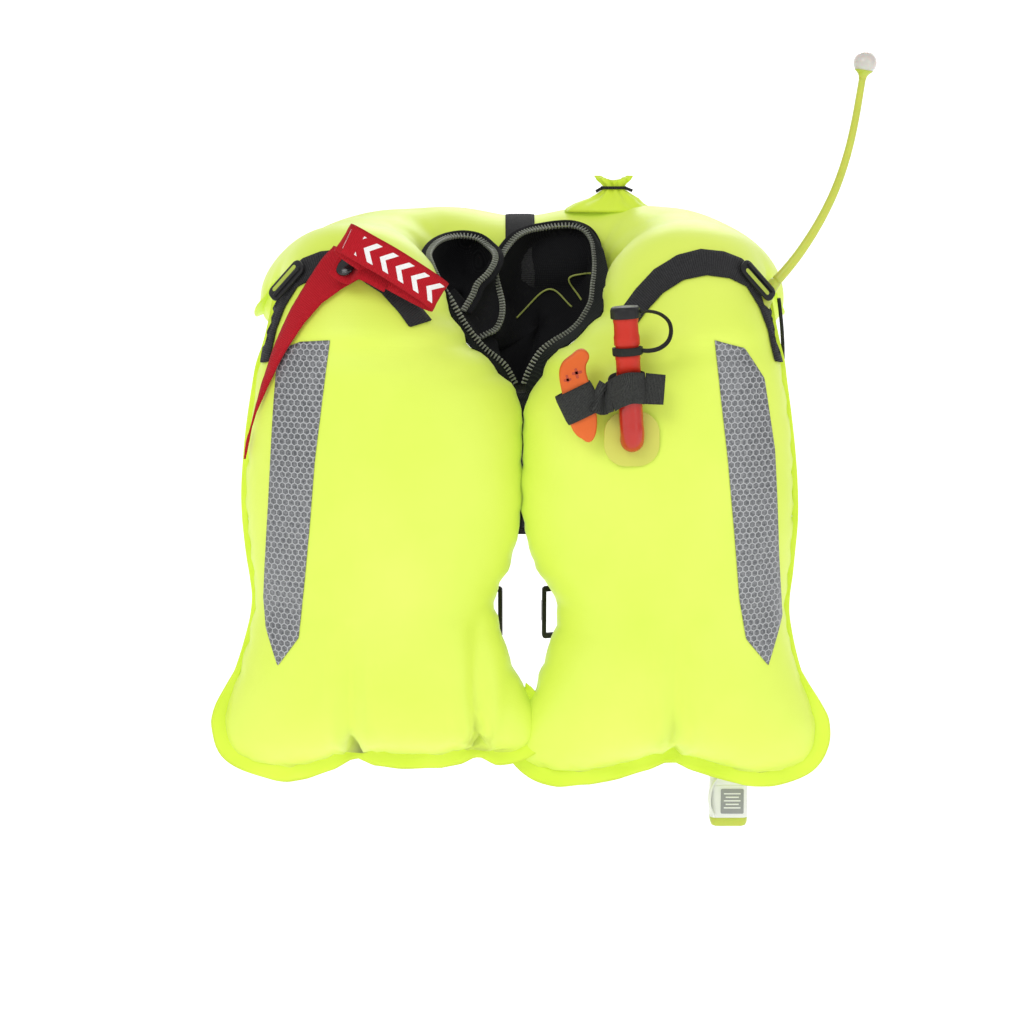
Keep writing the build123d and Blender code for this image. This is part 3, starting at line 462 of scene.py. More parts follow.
def grid_faces(rows, columns, wrap_rows=False, wrap_columns=True):
    """Quads over a grid of rows x columns points."""
    made = []
    for i in range(rows if wrap_rows else rows - 1):
        for j in range(columns if wrap_columns else columns - 1):
            a, b = i * columns + j, i * columns + (j + 1) % columns
            k = (i + 1) % rows
            made.append((a, b, k * columns + (j + 1) % columns, k * columns + j))
    return made


def end_caps(rows, columns):
    return [tuple(range(columns))[::-1], tuple((rows - 1) * columns + j for j in range(columns))]


def loft(name, verts, columns, finish_name, **more):
    """A form skinned over rows of points, columns in each, and capped at both ends."""
    rows = len(verts) // columns
    return finish(name, verts, grid_faces(rows, columns) + end_caps(rows, columns), finish_name, **more)


def ribbon(name, line, side, width, thick, finish_name, closed=False, across=7, edge=0.35, **more):
    """Flat strap: a line of centres, the direction of its width at each, its width and thickness."""
    line = np.asarray(line, float)
    n = len(line)
    run = tangents(line, closed)
    side = np.broadcast_to(np.asarray(side, float), line.shape)
    side = unit(side - run * np.sum(side * run, 1, keepdims=True))
    face = np.cross(run, side)
    width = np.broadcast_to(np.asarray(width, float), n)
    spots = np.linspace(-0.5, 0.5, across)
    verts, lay = [], []
    along = lengths(line)
    for i in range(n):
        for sign, order in ((1, spots), (-1, spots[::-1])):
            for s in order:
                lift = thick / 2 * (1 - (1 - edge) * (abs(s) * 2) ** 12)
                verts.append(line[i] + side[i] * s * width[i] + face[i] * lift * sign)
                lay.append((along[i], s * width[i]))
    faces = grid_faces(n, 2 * across, closed)
    if not closed:
        faces += end_caps(n, 2 * across)
    return finish(name, verts, faces, finish_name, lay=lay, **more)


def tube(name, line, radius, finish_name, sides=28, **more):
    """Round tube along a line, with one radius or a radius for every point."""
    line = np.asarray(line, float)
    radius = np.broadcast_to(np.asarray(radius, float), len(line))
    run = tangents(line)
    axis = np.array([0.0, 1.0, 0.0]) if abs(run[0][1]) < 0.8 else np.array([1.0, 0.0, 0.0])
    verts = []
    for p, t, r in zip(line, run, radius):
        axis = unit(axis - t * np.dot(axis, t))
        verts.extend(p + circle(sides, axis * r, np.cross(t, axis) * r))
    return loft(name, verts, sides, finish_name, **more)


def lathe(name, origin, up, profile, finish_name, sides=40, ridge=None, **more):
    """Turned piece: (radius, height) pairs about an axis. ridge(angle, height) scales a radius."""
    up = unit(up)
    x = unit(np.cross(up, (0.3, 1, 0.1)))
    round_axis = circle(sides, x, np.cross(up, x))
    verts = []
    for r, h in profile:
        radii = np.array([r * (ridge(a, h) if ridge else 1) for a in turn(sides)])
        verts.extend(np.asarray(origin, float) + up * h + round_axis * radii[:, None])
    return loft(name, verts, sides, finish_name, **more)


def slab(name, outline, frame_of, depth_low, depth_high, finish_name, round_off=0.8, **more):
    """Plate cut to an outline in a plane (origin, x, y, normal), with rounded edges."""
    origin, x, y, normal = (np.asarray(v, float) for v in frame_of)
    n = len(outline)
    verts = [origin + x * a + y * b + normal * d for d in (depth_low, depth_high) for a, b in outline]
    faces = [tuple(range(n))[::-1], tuple(range(n, 2 * n))]
    faces += [(i, (i + 1) % n, n + (i + 1) % n, n + i) for i in range(n)]
    piece = finish(name, verts, faces, finish_name, **more)
    if round_off:
        bevel(piece, round_off, 3)
    return sharpen(piece, 40)


def rounded_rect(w, h, r, per=6):
    """Outline of a rectangle with corners of radius r, each in per steps."""
    points = []
    for quarter, (right, top) in enumerate(((1, 1), (-1, 1), (-1, -1), (1, -1))):
        for a in np.radians(90 * quarter + np.linspace(0, 90, per + 1)):
            points.append((right * (w / 2 - r) + r * math.cos(a), top * (h / 2 - r) + r * math.sin(a)))
    return points


# ------------------------------------------------------------------ the air bladder
# Chest lobe rows: height, inner x, outer x, half depth, centre y.
STARBOARD_ROWS = [(-377, -22, -200, 0.7, -97), (-374.5, -10, -216, 7, -97), (-369, 1, -227, 16, -96),
                  (-359, 8, -235, 28, -95), (-346, 11, -239, 39, -93), (-332, 9, -239, 47, -91),
                  (-316, 2, -234, 53, -90), (-297, -7, -227, 57, -90), (-272, -15, -219, 60, -90),
                  (-241, -18.5, -213, 61, -90), (-205, -8, -217, 62, -90), (-165, -1, -220.5, 62, -90),
                  (-120, -0.5, -218, 62, -90), (-88, -1, -214, 61, -89), (-70, -6, -211, 60, -88),
                  (-53, -20, -208, 59, -86), (-38, -36, -203, 57, -83), (-18, -52, -198, 56, -79)]
PORT_ROWS = [
    (-385, 42, 196, 0.7, -86), (-382.5, 20, 214, 7, -86), (-377, 6, 226, 16, -86), (-367, -1, 235, 28, -86),
    (-354, 0, 238, 39, -87), (-340, 3, 237, 47, -88), (-324, 7, 231, 53, -89), (-304, 13, 223, 57, -90),
    (-279, 21, 216, 60, -90), (-248, 26.5, 211, 61, -90), (-210, 9, 214.5, 62, -90), (-168, 1, 217, 62, -90),
    (-120, 0.5, 214, 62, -90), (-88, 1, 210, 61, -89), (-66, 11, 207, 60, -88), (-50, 20, 205, 59, -86),
    (-38, 31, 202, 57, -83), (-18, 58, 198, 56, -79),
]


def lobe_stations(rows):
    """Sections of a chest lobe: centre, inward radius, body-side radius."""
    return [((i + o) / 2, y, z, (i - o) / 2, 0, 0, 0, d, 0) for z, i, o, d, y in rows]


def shoulder_stations(sign, lift):
    """The same from the lobe's top over the shoulder to the neck. lift raises the shoulder's top."""
    c, s = math.cos(math.radians(20)), math.sin(math.radians(20))
    rows = [
        ((-132, -47, 14), (63, 0, 0), np.array((0, 0.69, -0.72)) * 51),
        ((-149, 14, 6), (69 * c, 0, 69 * s), np.array((s, 0, -c)) * (49 + lift)),
        ((-122, 80, 14), np.array((0.8, -0.6, 0.14)) * 66, np.array((0.11, -0.08, -0.99)) * (50 + lift)),
        ((-58, 111, 17), (0, -61, 0), (0, 0, -51)),
    ]
    flip = np.array((-sign, 1, 1))
    return [tuple(np.concatenate([np.array(part) * flip for part in row])) for row in rows]


stations = (lobe_stations(STARBOARD_ROWS) + shoulder_stations(-1, 0)
            + [(0, 110, 10, 0, -60, 0, 0, 0, -49)]
            + shoulder_stations(1, 4)[::-1] + lobe_stations(PORT_ROWS)[::-1])
RING = 104                            # points round each section
rings = spline(stations, step=5.2)
# How far the bottom weld is drawn up between its corners (x, lift), by its puckers.
HEMS = {
    -1: [(-240, 2), (-204, 1), (-188, 0), (-172, 3), (-151, 10), (-138, 18), (-132, 19), (-120, 13),
         (-99, 11), (-66, 10.5), (-48, 15), (-38, 20), (-32, 20), (-22, 13), (-6, 11), (11, 11)],
    1: [(-6, 4), (11, 2), (31, 0), (55, 2.5), (79, 8), (104, 15), (116, 21), (125, 21), (136, 15), (160, 8),
        (181, 1.5), (201, 0), (240, 2)],
}
HEM_FOOT = {-1: -377, 1: -385}


def hem_lift(x, z, sign):
    """Rise of the bottom edge at (x, z), fading up the lobe."""
    hem_x, hem_up = np.array(HEMS[sign], float).T
    near = np.clip((z - HEM_FOOT[sign]) / 75, 0, 1)
    return np.interp(x, hem_x, hem_up) * (1 - near) ** 2


angles = turn(RING)
# Two sheets welded at their edges: the section is pointed at the welds, full between them.
reach = np.sign(np.cos(angles)) * np.abs(np.cos(angles)) ** 0.96
fill = np.sin(angles) * (1 - 0.10 * np.abs(np.cos(angles)) ** 5)
skin = (rings[:, None, 0:3] + rings[:, None, 3:6] * reach[None, :, None]
        + rings[:, None, 6:9] * fill[None, :, None])
ROWS = len(rings)


def ring_normals(points):
    down = np.gradient(points, axis=0)
    around = np.roll(points, -1, 1) - np.roll(points, 1, 1)
    n = unit(np.cross(around, down))
    outward = points - rings[:, None, 0:3]
    return n * np.sign(np.sum(n * outward, 2, keepdims=True) + 1e-9)


# Distance of each point from its nearer weld, and how far along that weld it lies.
normals = ring_normals(skin)
widths = np.linalg.norm(rings[:, 3:6], axis=1)
depths = np.linalg.norm(rings[:, 6:9], axis=1)
girth = math.pi * np.sqrt((widths**2 + depths**2) / 2)
from_outer = np.abs(angles - math.pi) / math.pi
from_inner = 1 - from_outer
seam_outer = rings[:, 0:3] - rings[:, 3:6]
seam_inner = rings[:, 0:3] + rings[:, 3:6]
run_outer, run_inner = lengths(seam_outer), lengths(seam_inner)
sink = np.zeros((ROWS, RING))


def crease(along, away, spot, depth, length, slim=2.6, spread=0.16):
    """A pucker that starts at a weld and fades into the cloth: a groove between two soft swellings."""
    wide = slim + spread * away
    groove = np.exp(-((along - spot) / wide) ** 2)
    swell = 0.5 * np.exp(-((np.abs(along - spot) - 2.6 * wide) / (1.3 * wide)) ** 2)
    return depth * (groove - swell) * np.exp(-away / length) * np.minimum(1, 0.35 + away / 5)


above_hem = np.clip((rings[:, 2, None] + 350) / 40, 0, 1)
for seam_run, share in ((run_outer, from_outer), (run_inner, from_inner)):
    away = share[None, :] * girth[:, None]
    spot = 8.0
    while spot < seam_run[-1]:
        small = (rng.uniform(0.8, 2.6), rng.uniform(9, 20), rng.uniform(2, 4))
        sink += above_hem * crease(seam_run[:, None], away, spot, *small)
        spot += rng.uniform(17, 36)
# The bottom welds, where strong puckers at these x point up into each lobe.
STRONG = {-1: (-135, -35), 1: (121,)}
LOBE = {sign: (np.sign(rings[:, 0]) == sign) & (rings[:, 2] < -60) for sign in (-1, 1)}
for sign, strong in STRONG.items():
    along = skin[:, :, 0]
    away = np.abs(skin[:, :, 2] - HEM_FOOT[sign]) * 0.75 + 0.25 * np.abs(skin[:, :, 1] + 90)
    mask = LOBE[sign][:, None] * (rings[:, 2] < -250)[:, None]
    front = (skin[:, :, 1] < rings[:, None, 1]) * 1.0
    for x in strong:
        sink += mask * front * crease(along, away, x, 16, 58, 2.4, 0.05)
        sink += mask * (1 - front) * crease(along, away, x + 6, 12, 22, 3.0, 0.22)
    spots = np.arange(min(sign * 12, sign * 222), max(sign * 12, sign * 222), 23)
    for x in spots:
        if min(abs(x - s) for s in strong) > 14:
            for half in (front, 1 - front):
                fine = (x + rng.uniform(-6, 6), rng.uniform(1.0, 3.4), rng.uniform(7, 15))
                sink += mask * half * crease(along, away, *fine, 2.4, 0.2)
# Cross folds where the chamber bends at the collar and the waist.
inner_pull = np.maximum(0, np.cos(angles))[None, :] ** 3
FOLDS = [(-58, 3.0, 5), (-34, 4.5, 6), (-12, 3.5, 5), (-243, 3.2, 9), (-226, 2.0, 6), (-262, 2.2, 7)]
for z, depth, slim in FOLDS:
    row = np.exp(-((rings[:, 2] - z) / slim) ** 2) * (rings[:, 1] < -30)
    sink += depth * row[:, None] * inner_pull
skin = skin - normals * sink[:, :, None]
for sign, near in LOBE.items():
    skin[near, :, 2] += hem_lift(skin[near, :, 0], skin[near, :, 2], sign)
# A slow unevenness over the whole bladder.
ramble = (np.sin(run_outer / 31.0)[:, None] * np.sin(3 * angles + 0.7)[None, :]
          + 0.6 * np.sin(run_outer / 17.0 + 2)[:, None] * np.sin(5 * angles + 1.9)[None, :])
skin = skin + normals * (ramble * 0.9 * np.minimum(1, depths / 40)[:, None])[:, :, None]

# The end rings are closed by strips from the front sheet to the back one.
bladder_faces = grid_faces(ROWS, RING)
for row in (0, ROWS - 1):
    for j in range(RING // 2):
        quad = list(dict.fromkeys(row * RING + k % RING for k in (j, j + 1, RING - j - 1, RING - j)))
        if len(quad) > 2:
            bladder_faces.append(tuple(quad if row else quad[::-1]))
bladder = finish("air_bladder", skin.reshape(-1, 3), bladder_faces, "yellow",
                 ["bladder_lobe_starboard", "bladder_lobe_port", "bladder_shoulder_starboard",
                  "bladder_shoulder_port", "bladder_neck_back"])


def surface_of(piece):
    """Search tree over a piece's faces."""
    mesh = piece.data
    return BVHTree.FromPolygons([v.co.copy() for v in mesh.vertices],
                                [tuple(p.vertices) for p in mesh.polygons])


tree = surface_of(bladder)
AHEAD_OF_ALL = -500.0
BACK_OF_WELD = -62.0                  # past here the front of a lobe has turned away
MID_LOBE = -92.0


def nearest_skin(p):
    """The bladder's nearest point to p, and its normal there."""
    hit, normal, _, _ = tree.find_nearest(Vector(metres(p)))
    return np.array(hit) / MM, np.array(normal)


def seen_point(search, x, z):
    """What a ray from straight ahead meets at (x, z), or None, and its normal."""
    hit, normal, _, _ = search.ray_cast(Vector(metres((x, AHEAD_OF_ALL, z))), Vector((0, 1, 0)))
    return (None, None) if hit is None else (np.array(hit) / MM, np.array(normal))


def front_point(x, z):
    """The bladder's front surface at (x, z) and its normal."""
    hit, normal = seen_point(tree, x, z)
    if hit is None or hit[1] > BACK_OF_WELD:
        return nearest_skin((x, MID_LOBE, z))
    return hit, -normal if normal[1] > 0 else normal


def drape(name, outline, lift, thick, finish_name, centre=None, **more):
    """A flat piece cut to a front outline (x, z) and laid on the bladder. Its weave follows centre."""
    ring = np.array(list(outline) + [outline[0]], float)
    run = lengths(ring)
    spacing, edge_step = 3.0, 2.2
    at = np.linspace(0, run[-1], int(run[-1] / edge_step), endpoint=False)
    edge = np.stack([np.interp(at, run, ring[:, k]) for k in (0, 1)], 1)
    low, high = edge.min(0), edge.max(0)
    inside = []
    for row, z in enumerate(np.arange(low[1], high[1], spacing * 0.87)):
        for x in np.arange(low[0] + (row % 2) * spacing / 2, high[0], spacing):
            gap = np.linalg.norm(edge - (x, z), axis=1).min()
            if gap > spacing * 0.55 and in_polygon(x, z, edge):
                inside.append((x, z))
    flat = [Vector(p) for p in np.concatenate([edge, np.array(inside).reshape(-1, 2)])]
    count = len(edge)
    out = geometry.delaunay_2d_cdt(flat, [(i, (i + 1) % count) for i in range(count)], [], 1, 1e-7)
    points, faces = np.array([tuple(p) for p in out[0]]), out[2]
    spots = [front_point(x, z) for x, z in points]
    verts = [spot + normal * height for height in (lift, lift + thick) for spot, normal in spots]
    n = len(points)
    edges = dict.fromkeys((a, b) for f in faces for a, b in zip(f, list(f[1:]) + [f[0]]))
    rim = [(a, b) for a, b in edges if (b, a) not in edges]
    solid = [tuple(n + i for i in f) for f in faces] + [tuple(reversed(f)) for f in faces]
    solid += [(a, b, n + b, n + a) for a, b in rim]
    lay = points
    if centre is not None:
        mid = spline(centre, step=1.5)
        mid_run, way = lengths(mid), tangents(mid)
        lay = []
        for p in points:
            k = int(np.argmin(np.linalg.norm(mid - p, axis=1)))
            d = p - mid[k]
            lay.append((mid_run[k] + d @ way[k], way[k][0] * d[1] - way[k][1] * d[0]))
    return finish(name, verts, solid, finish_name, lay=np.r_[lay, lay], **more)


def in_polygon(x, y, ring):
    a, b = ring, np.roll(ring, -1, 0)
    crosses = (a[:, 1] > y) != (b[:, 1] > y)
    with np.errstate(divide="ignore", invalid="ignore"):
        where = (b[:, 0] - a[:, 0]) * (y - a[:, 1]) / (b[:, 1] - a[:, 1]) + a[:, 0]
    return bool(np.sum(crosses & (x < where)) % 2)


# ------------------------------------------------------------------ weld flange round the bladder
INNER_TOP = -318                      # the inner weld shows its flange only below this height
first_rows = int(np.argmax(rings[:, 2] > INNER_TOP))
last_rows = ROWS - 1 - int(np.argmax(rings[::-1, 2] > INNER_TOP))


def bottom_run(row):
    return np.linspace(seam_inner[row], seam_outer[row], 34)[1:-1]


weld = np.concatenate([seam_inner[first_rows:0:-1], seam_inner[:1], bottom_run(0), seam_outer,
                       bottom_run(-1)[::-1], seam_inner[-1:], seam_inner[-2:last_rows:-1]])
weld = spline(weld[::3], step=3.2)
weld_run = tangents(weld)
nearest = np.argmin(np.linalg.norm(weld[:, None, :] - rings[None, :, 0:3], axis=2), axis=1)
towards_body = unit(rings[nearest, 6:9])
out_way = unit(np.cross(weld_run, towards_body))
for _ in range(6):
    out_way = unit(out_way + np.roll(out_way, 1, 0) + np.roll(out_way, -1, 0))
low = np.clip((-300 - weld[:, 2]) / 40, 0, 1)
half_way = len(weld) // 2
for sign, part in ((-1, slice(0, half_way)), (1, slice(half_way, None))):
    low_part = weld[part, 2] < -290
    weld[part, 2] += low_part * hem_lift(weld[part, 0], weld[part, 2], sign)
# The flange is wide at the bottom and at the starboard shoulder's tip, and flat under the neck webbing.
tip = np.exp(-np.sum(((weld - (-215, 12, 2)) / (26, 34, 20)) ** 2, axis=1))
band = 4.0 + 7.5 * low + 8 * tip
band[(np.abs(weld[:, 0]) < 16) & (weld[:, 1] > 40)] = 0.6
along_weld = lengths(weld)
flutter = 1.4 * np.sin(along_weld / 7.3) + 1.0 * np.sin(along_weld / 11.9 + 1)
cols = 6
flange_verts = []
for i in range(len(weld)):
    for side in (1, -1):
        order = np.linspace(-0.25, 1, cols) if side > 0 else np.linspace(1, -0.25, cols)
        for s in order:
            curl = max(s, 0) ** 2 * (2.2 * low[i] + flutter[i] * (0.35 + 0.65 * low[i]))
            flange_verts.append(weld[i] + out_way[i] * band[i] * s - towards_body[i] * (side * 0.55 + curl))
loft("weld_flange", flange_verts, 2 * cols, "flange", slot="yellow_bladder")

# ------------------------------------------------------------------ tapes, straps
TAPE_STARBOARD = [(-191, -39), (-172.5, -31), (-149, -29), (-155, -75), (-161, -122), (-165, -168),
                  (-170, -215), (-175.6, -263), (-193, -287), (-203, -258), (-205, -235), (-202, -195),
                  (-199, -155), (-194, -76)]
TAPE_PORT = [(149, -29), (173, -36), (189, -60), (198, -116), (203, -203), (207, -250), (194.5, -287),
             (176, -264), (170, -231), (165, -176), (159.5, -121), (154, -75)]
drape("tape_starboard", TAPE_STARBOARD, 0.3, 0.5, "tape", stands_for="reflective_tape_starboard")
drape("tape_port", TAPE_PORT, 0.3, 0.5, "tape", stands_for="reflective_tape_port")

ELASTIC = [(72, -16), (80, -6), (90, 8), (104, 23), (122, 34), (140, 38.5), (158, 36.5), (172, 31),
           (186, 18), (197, -4), (202, -22), (205, -50), (198, -48), (193, -24), (186, -6), (176, 10),
           (162, 17), (144, 19.5), (126, 16), (110, 6), (97, -8), (88, -20)]
ELASTIC_MID = [(78, -16), (92, 1), (108, 16), (126, 25), (144, 29), (162, 26), (178, 17), (190, 4),
               (196, -16), (201, -48)]
for side_name, sign in (("port", 1), ("starboard", -1)):
    drape(f"elastic_{side_name}", np.array(ELASTIC) * (sign, 1), 0.8, 1.6, "black_web",
          centre=np.array(ELASTIC_MID) * (sign, 1), stands_for=f"elastic_strap_{side_name}")

LIFT_TAIL = [(-147, 39), (-156, 29), (-166, 13), (-178, -8), (-190, -34), (-201, -66), (-209, -96),
             (-214, -118), (-216, -126), (-214, -112), (-206, -88), (-196, -66), (-187, -48), (-179, -34),
             (-168, -18), (-155, -3), (-140, 8), (-126, 16), (-116, 24), (-124, 34)]
LIFT_MID = [(-128, 27), (-146, 16), (-162, 1), (-176, -20), (-190, -48), (-202, -80), (-213, -112),
            (-217, -128)]
drape("lift_tail", LIFT_TAIL, 3.4, 1.7, "red_web", centre=LIFT_MID, stands_for="lift_strap_tail")

# ------------------------------------------------------------------ lifting loop and snap
def axes(origin, x_dir, z_dir):
    """Origin and squared-up x, y, z directions of a plane."""
    z = unit(z_dir)
    x = unit(np.asarray(x_dir, float) - z * np.dot(x_dir, z))
    return np.asarray(origin, float), x, np.cross(z, x), z


def local(plane, points):
    o, x, y, z = plane
    return np.array([o + x * a + y * b + z * c for a, b, c in points])


def closed_spline(points, step):
    """Smooth closed line through points, resampled evenly."""
    points = [np.asarray(p, float) for p in points]
    dense = spline(points[-3:] + points + points[:3], step=step / 4)
    first = int(np.argmin(np.linalg.norm(dense[: len(dense) // 2] - points[0], axis=1)))
    half = len(dense) // 2
    last = half + int(np.argmin(np.linalg.norm(dense[half:] - points[0], axis=1)))
    return spline(dense[first:last + 1], step=step)[:-1]


LOOP = axes((-101, -140, 27), (0.856, 0.061, -0.513), (0.512, 0.036, 0.858))
loop_path = closed_spline(local(LOOP, [(-40, -5, 2), (-24, -7, 2.5), (-4, -8, 3), (16, -7.6, 2.5),
                                       (34, -6.4, 1.5), (43, -1.5, 0), (40, 4.2, -2), (22, 5.6, -3.5),
                                       (0, 6, -4), (-22, 5.4, -2.5), (-38, 3.6, -1), (-43, -0.5, 1)]), 2.0)
ribbon("lift_loop_webbing", loop_path, LOOP[3], 24.5, 1.7, "loop_web", closed=True, stands_for="lift_loop",
       body="lift_loop_body")
SNAP_NORMAL = unit((-0.18, -0.80, 0.57))
SNAP = np.array((-136.0, -123.0, 22.0))
link = spline([SNAP + SNAP_NORMAL * 7.4 - LOOP[1] * 9, SNAP + SNAP_NORMAL * 7.6 + LOOP[1] * 6,
               local(LOOP, [(-18, 6.6, -11)])[0], local(LOOP, [(4, 6.4, -9)])[0]], step=1.5)
ribbon("lift_loop_link", link, unit(np.cross(SNAP_NORMAL, LOOP[1])), 22, 1.6, "red_web", slot="red_webbing",
       body="lift_loop_body")
DOME = [(2.8, 2.0), (2.8, 0), (7.2, 0), (7.6, 0.5), (7.6, 1.6), (7.3, 2.2), (6.3, 2.9), (5.9, 2.75),
        (5.5, 3.0), (3.5, 3.5), (0.3, 3.7)]
POST = [(0.3, 0), (5.6, 0), (5.9, 0.5), (5.6, 1.2), (2.4, 1.7), (2.0, 2.4), (2.3, 3.4), (1.9, 4.1),
        (0.3, 4.2)]
lathe("lift_snap_cap_dome", SNAP + SNAP_NORMAL * 8, SNAP_NORMAL, DOME, "gloss", stands_for="lift_snap_cap",
      body="snap_cap_body")
lathe("lift_snap_post", SNAP + SNAP_NORMAL * 5.4, SNAP_NORMAL, POST, "steel", stands_for="lift_snap_stud")

# ------------------------------------------------------------------ collar: open cover zips and lining
RIM_FACE = unit((0, -0.743, 0.669))
ZIP_S = [(-6.4, -60, -69), (-14.5, -62, -55), (-31, -64, -41), (-44, -64, -25), (-58, -60, -2),
         (-63.5, -55, 6), (-73, -30, 23), (-76, -10, 32), (-70, 10, 40), (-60, 25, 44), (-48, 32, 45),
         (-37, 30, 43), (-28, 20, 37), (-22, 5, 31), (-22, -5, 25), (-27.5, -18, 16), (-36, -28, 8),
         (-40, -38, -1), (-47, -50, -12)]
ZIP_P = [(-35, -52, -34), (-28, -48, -31), (-21.5, -42, -28), (-17, -34, -20), (-16, -22, -9), (-18, -14, 0),
         (-21, -5, 11), (-22, 5, 21), (-18, 12, 27), (-12, 24, 36), (-3, 36, 45), (7, 46, 49), (19, 54, 51),
         (31, 58, 52.5), (43, 58, 52.5), (53, 52, 49), (59, 42, 41), (61, 28, 30), (61, 14, 18), (59, 0, 6),
         (57, -14, -7), (52, -24, -16), (45, -34, -25), (37, -42, -31), (25, -50, -37.5), (16, -55, -44),
         (9, -59, -54), (4, -61, -64), (2.3, -62, -69)]
EDGE_S = [(-9, -66, -76), (-14.5, -70, -73), (-27, -73, -64), (-40, -76, -56), (-52, -76, -47),
          (-62, -74, -31), (-70, -70, -8), (-76, -60, 6)]
EDGE_P = [(3, -66, -76), (8.6, -72, -82), (14, -74, -74), (21, -76, -68), (22, -76, -54), (30, -76, -42),
          (52, -72, -27), (72, -66, -14), (77, -52, 0), (71, -12, 17), (67, 18, 36), (63, 40, 44),
          (55, 56, 53), (45, 63, 57)]


def clear_of_skin(p, lift):
    """Push a point out until it is at least lift clear of the bladder."""
    hit, normal = nearest_skin(p)
    return hit + normal * lift if np.dot(p - hit, normal) < lift else p


def strip_between(name, one, two, finish_name, columns=9, bulge=0.0, lift=None, thick=1.1, count=70, **more):
    """Cloth between two edges, with a thickness on the side away from the viewer."""
    a, b = spline(one, count=count), spline(two, count=count)
    top = []
    for i in range(count):
        for s in np.linspace(0, 1, columns):
            p = a[i] * (1 - s) + b[i] * s + RIM_FACE * bulge * math.sin(math.pi * s)
            top.append(clear_of_skin(p, lift) if lift is not None else p)
    top = np.array(top).reshape(count, columns, 3)
    n = unit(np.cross(np.gradient(top, axis=0), np.gradient(top, axis=1)))
    n *= np.sign(np.sum(n * np.array((0, -1.0, 0.4)), 2, keepdims=True) + 1e-9)
    under = top - n * thick
    verts = []
    for i in range(count):
        verts += list(top[i]) + list(under[i][::-1])
    return loft(name, verts, 2 * columns, finish_name, **more)


def zip_chain(name, line, cad_node):
    """One row of moulded teeth on the edge of a zip, and its tape."""
    line = spline(line, step=3.0)
    run = tangents(line)
    side = unit(np.cross(run, RIM_FACE))
    up = unit(np.cross(side, run))
    up *= np.sign(np.sum(up * RIM_FACE, 1, keepdims=True) + 1e-9)
    verts, faces = [], []
    profile = [(-2.4, 0.55, 1.0), (0.5, 0.6, 1.2), (1.1, 0.95, 1.5), (2.2, 0.95, 1.4), (2.7, 0.5, 0.8)]
    for p, t, s, u in zip(line, run, side, up):
        base = len(verts)
        for reach_out, half_along, half_up in profile:
            for da, du in ((-1, -1), (1, -1), (1, 1), (-1, 1)):
                verts.append(p + s * reach_out + t * da * half_along + u * (1.3 + du * half_up))
        for r in range(len(profile) - 1):
            for k in range(4):
                a, b = base + r * 4 + k, base + r * 4 + (k + 1) % 4
                faces.append((a, b, b + 4, a + 4))
        faces.append((base, base + 3, base + 2, base + 1))
        top = base + 4 * (len(profile) - 1)
        faces.append((top, top + 1, top + 2, top + 3))
    piece = finish(name, verts, faces, "teeth", stands_for=cad_node, smooth=False, slot="zip_plastic")
    bevel(piece, 0.22, 1, 50)
    ribbon(name + "_tape", line - side * 3.6, side, 6.4, 1.0, "lining", slot="zip_plastic")


zip_chain("zip_teeth_starboard", ZIP_S, "burst_zip_starboard")
zip_chain("zip_teeth_port", ZIP_P, "burst_zip_port")
strip_between("cover_edge_starboard", ZIP_S[:7], EDGE_S, "neoprene", lift=1.4, bulge=2.0, slot="dark_fabric")
strip_between("cover_edge_port", ZIP_P[:13:-1], EDGE_P, "neoprene", lift=1.4, bulge=2.0, count=110,
              slot="dark_fabric")
strip_between("collar_web", ZIP_S[12:], ZIP_P[7::-1], "lining", bulge=-5.0, slot="dark_fabric")
GUSSET = [(-20, -44, -36), (-27, -42, -30), (-34, -40, -20), (-44, -42, -6), (-54, -44, 6)]
strip_between("collar_gusset", ZIP_S[1:6], GUSSET, "lining", bulge=-4.0, slot="dark_fabric")


def bowl(name, rim, deep, cad_node, rows=16):
    """Lining that hangs from a closed rim: steep walls, a rumpled floor."""
    rim = closed_spline(rim, 3.0)
    count = len(rim)
    centre = rim.mean(0)
    verts = []
    for layer in (0.0, 1.2):
        for i, t in enumerate(np.linspace(0, 1, rows)):
            a = t * math.pi / 2
            spread = math.cos(a) ** 0.55 if i < rows - 1 else 0.0
            ring = centre + (rim - centre) * spread - RIM_FACE * deep * math.sin(a) ** 0.9
            b = turn(count)
            rumple = 1.8 * math.sin(math.pi * t) * (np.sin(3 * b + 5 * t) + 0.6 * np.sin(7 * b - 3 * t))
            ring = ring - RIM_FACE * (rumple[:, None] + layer)
            verts.append(np.array([clear_of_skin(p, 2.4 - layer) for p in ring]) if i > 2 else ring)
    layout = verts[:rows] + verts[rows:][::-1]
    faces = grid_faces(2 * rows, count, wrap_rows=True)
    return finish(name, np.concatenate(layout), faces, "lining", stands_for=cad_node)


port_bowl = bowl("collar_bowl_port", ZIP_P + [(-6.4, -60, -69), (-14.5, -60, -56), (-27, -60, -42)], 40,
                 "collar_lining_port")
bowl("collar_bowl_starboard", ZIP_S[4:] + [(-56, -58, -6)], 34, "collar_lining_starboard")

# Lime piping sewn over the folds of the lining.
port_tree = surface_of(port_bowl)
for k, corners in enumerate((((-4, -22), (24, 0), (42, -14)), ((58, 14), (40, 9), (50, -8)))):
    hits = [seen_point(port_tree, x, z)[0] for x, z in spline(corners, step=1.5)]
    tube(f"lining_piping_{k}", [hit + (0, -0.9, 0.3) for hit in hits if hit is not None], 0.8, "piping",
         sides=8, slot="dark_fabric")

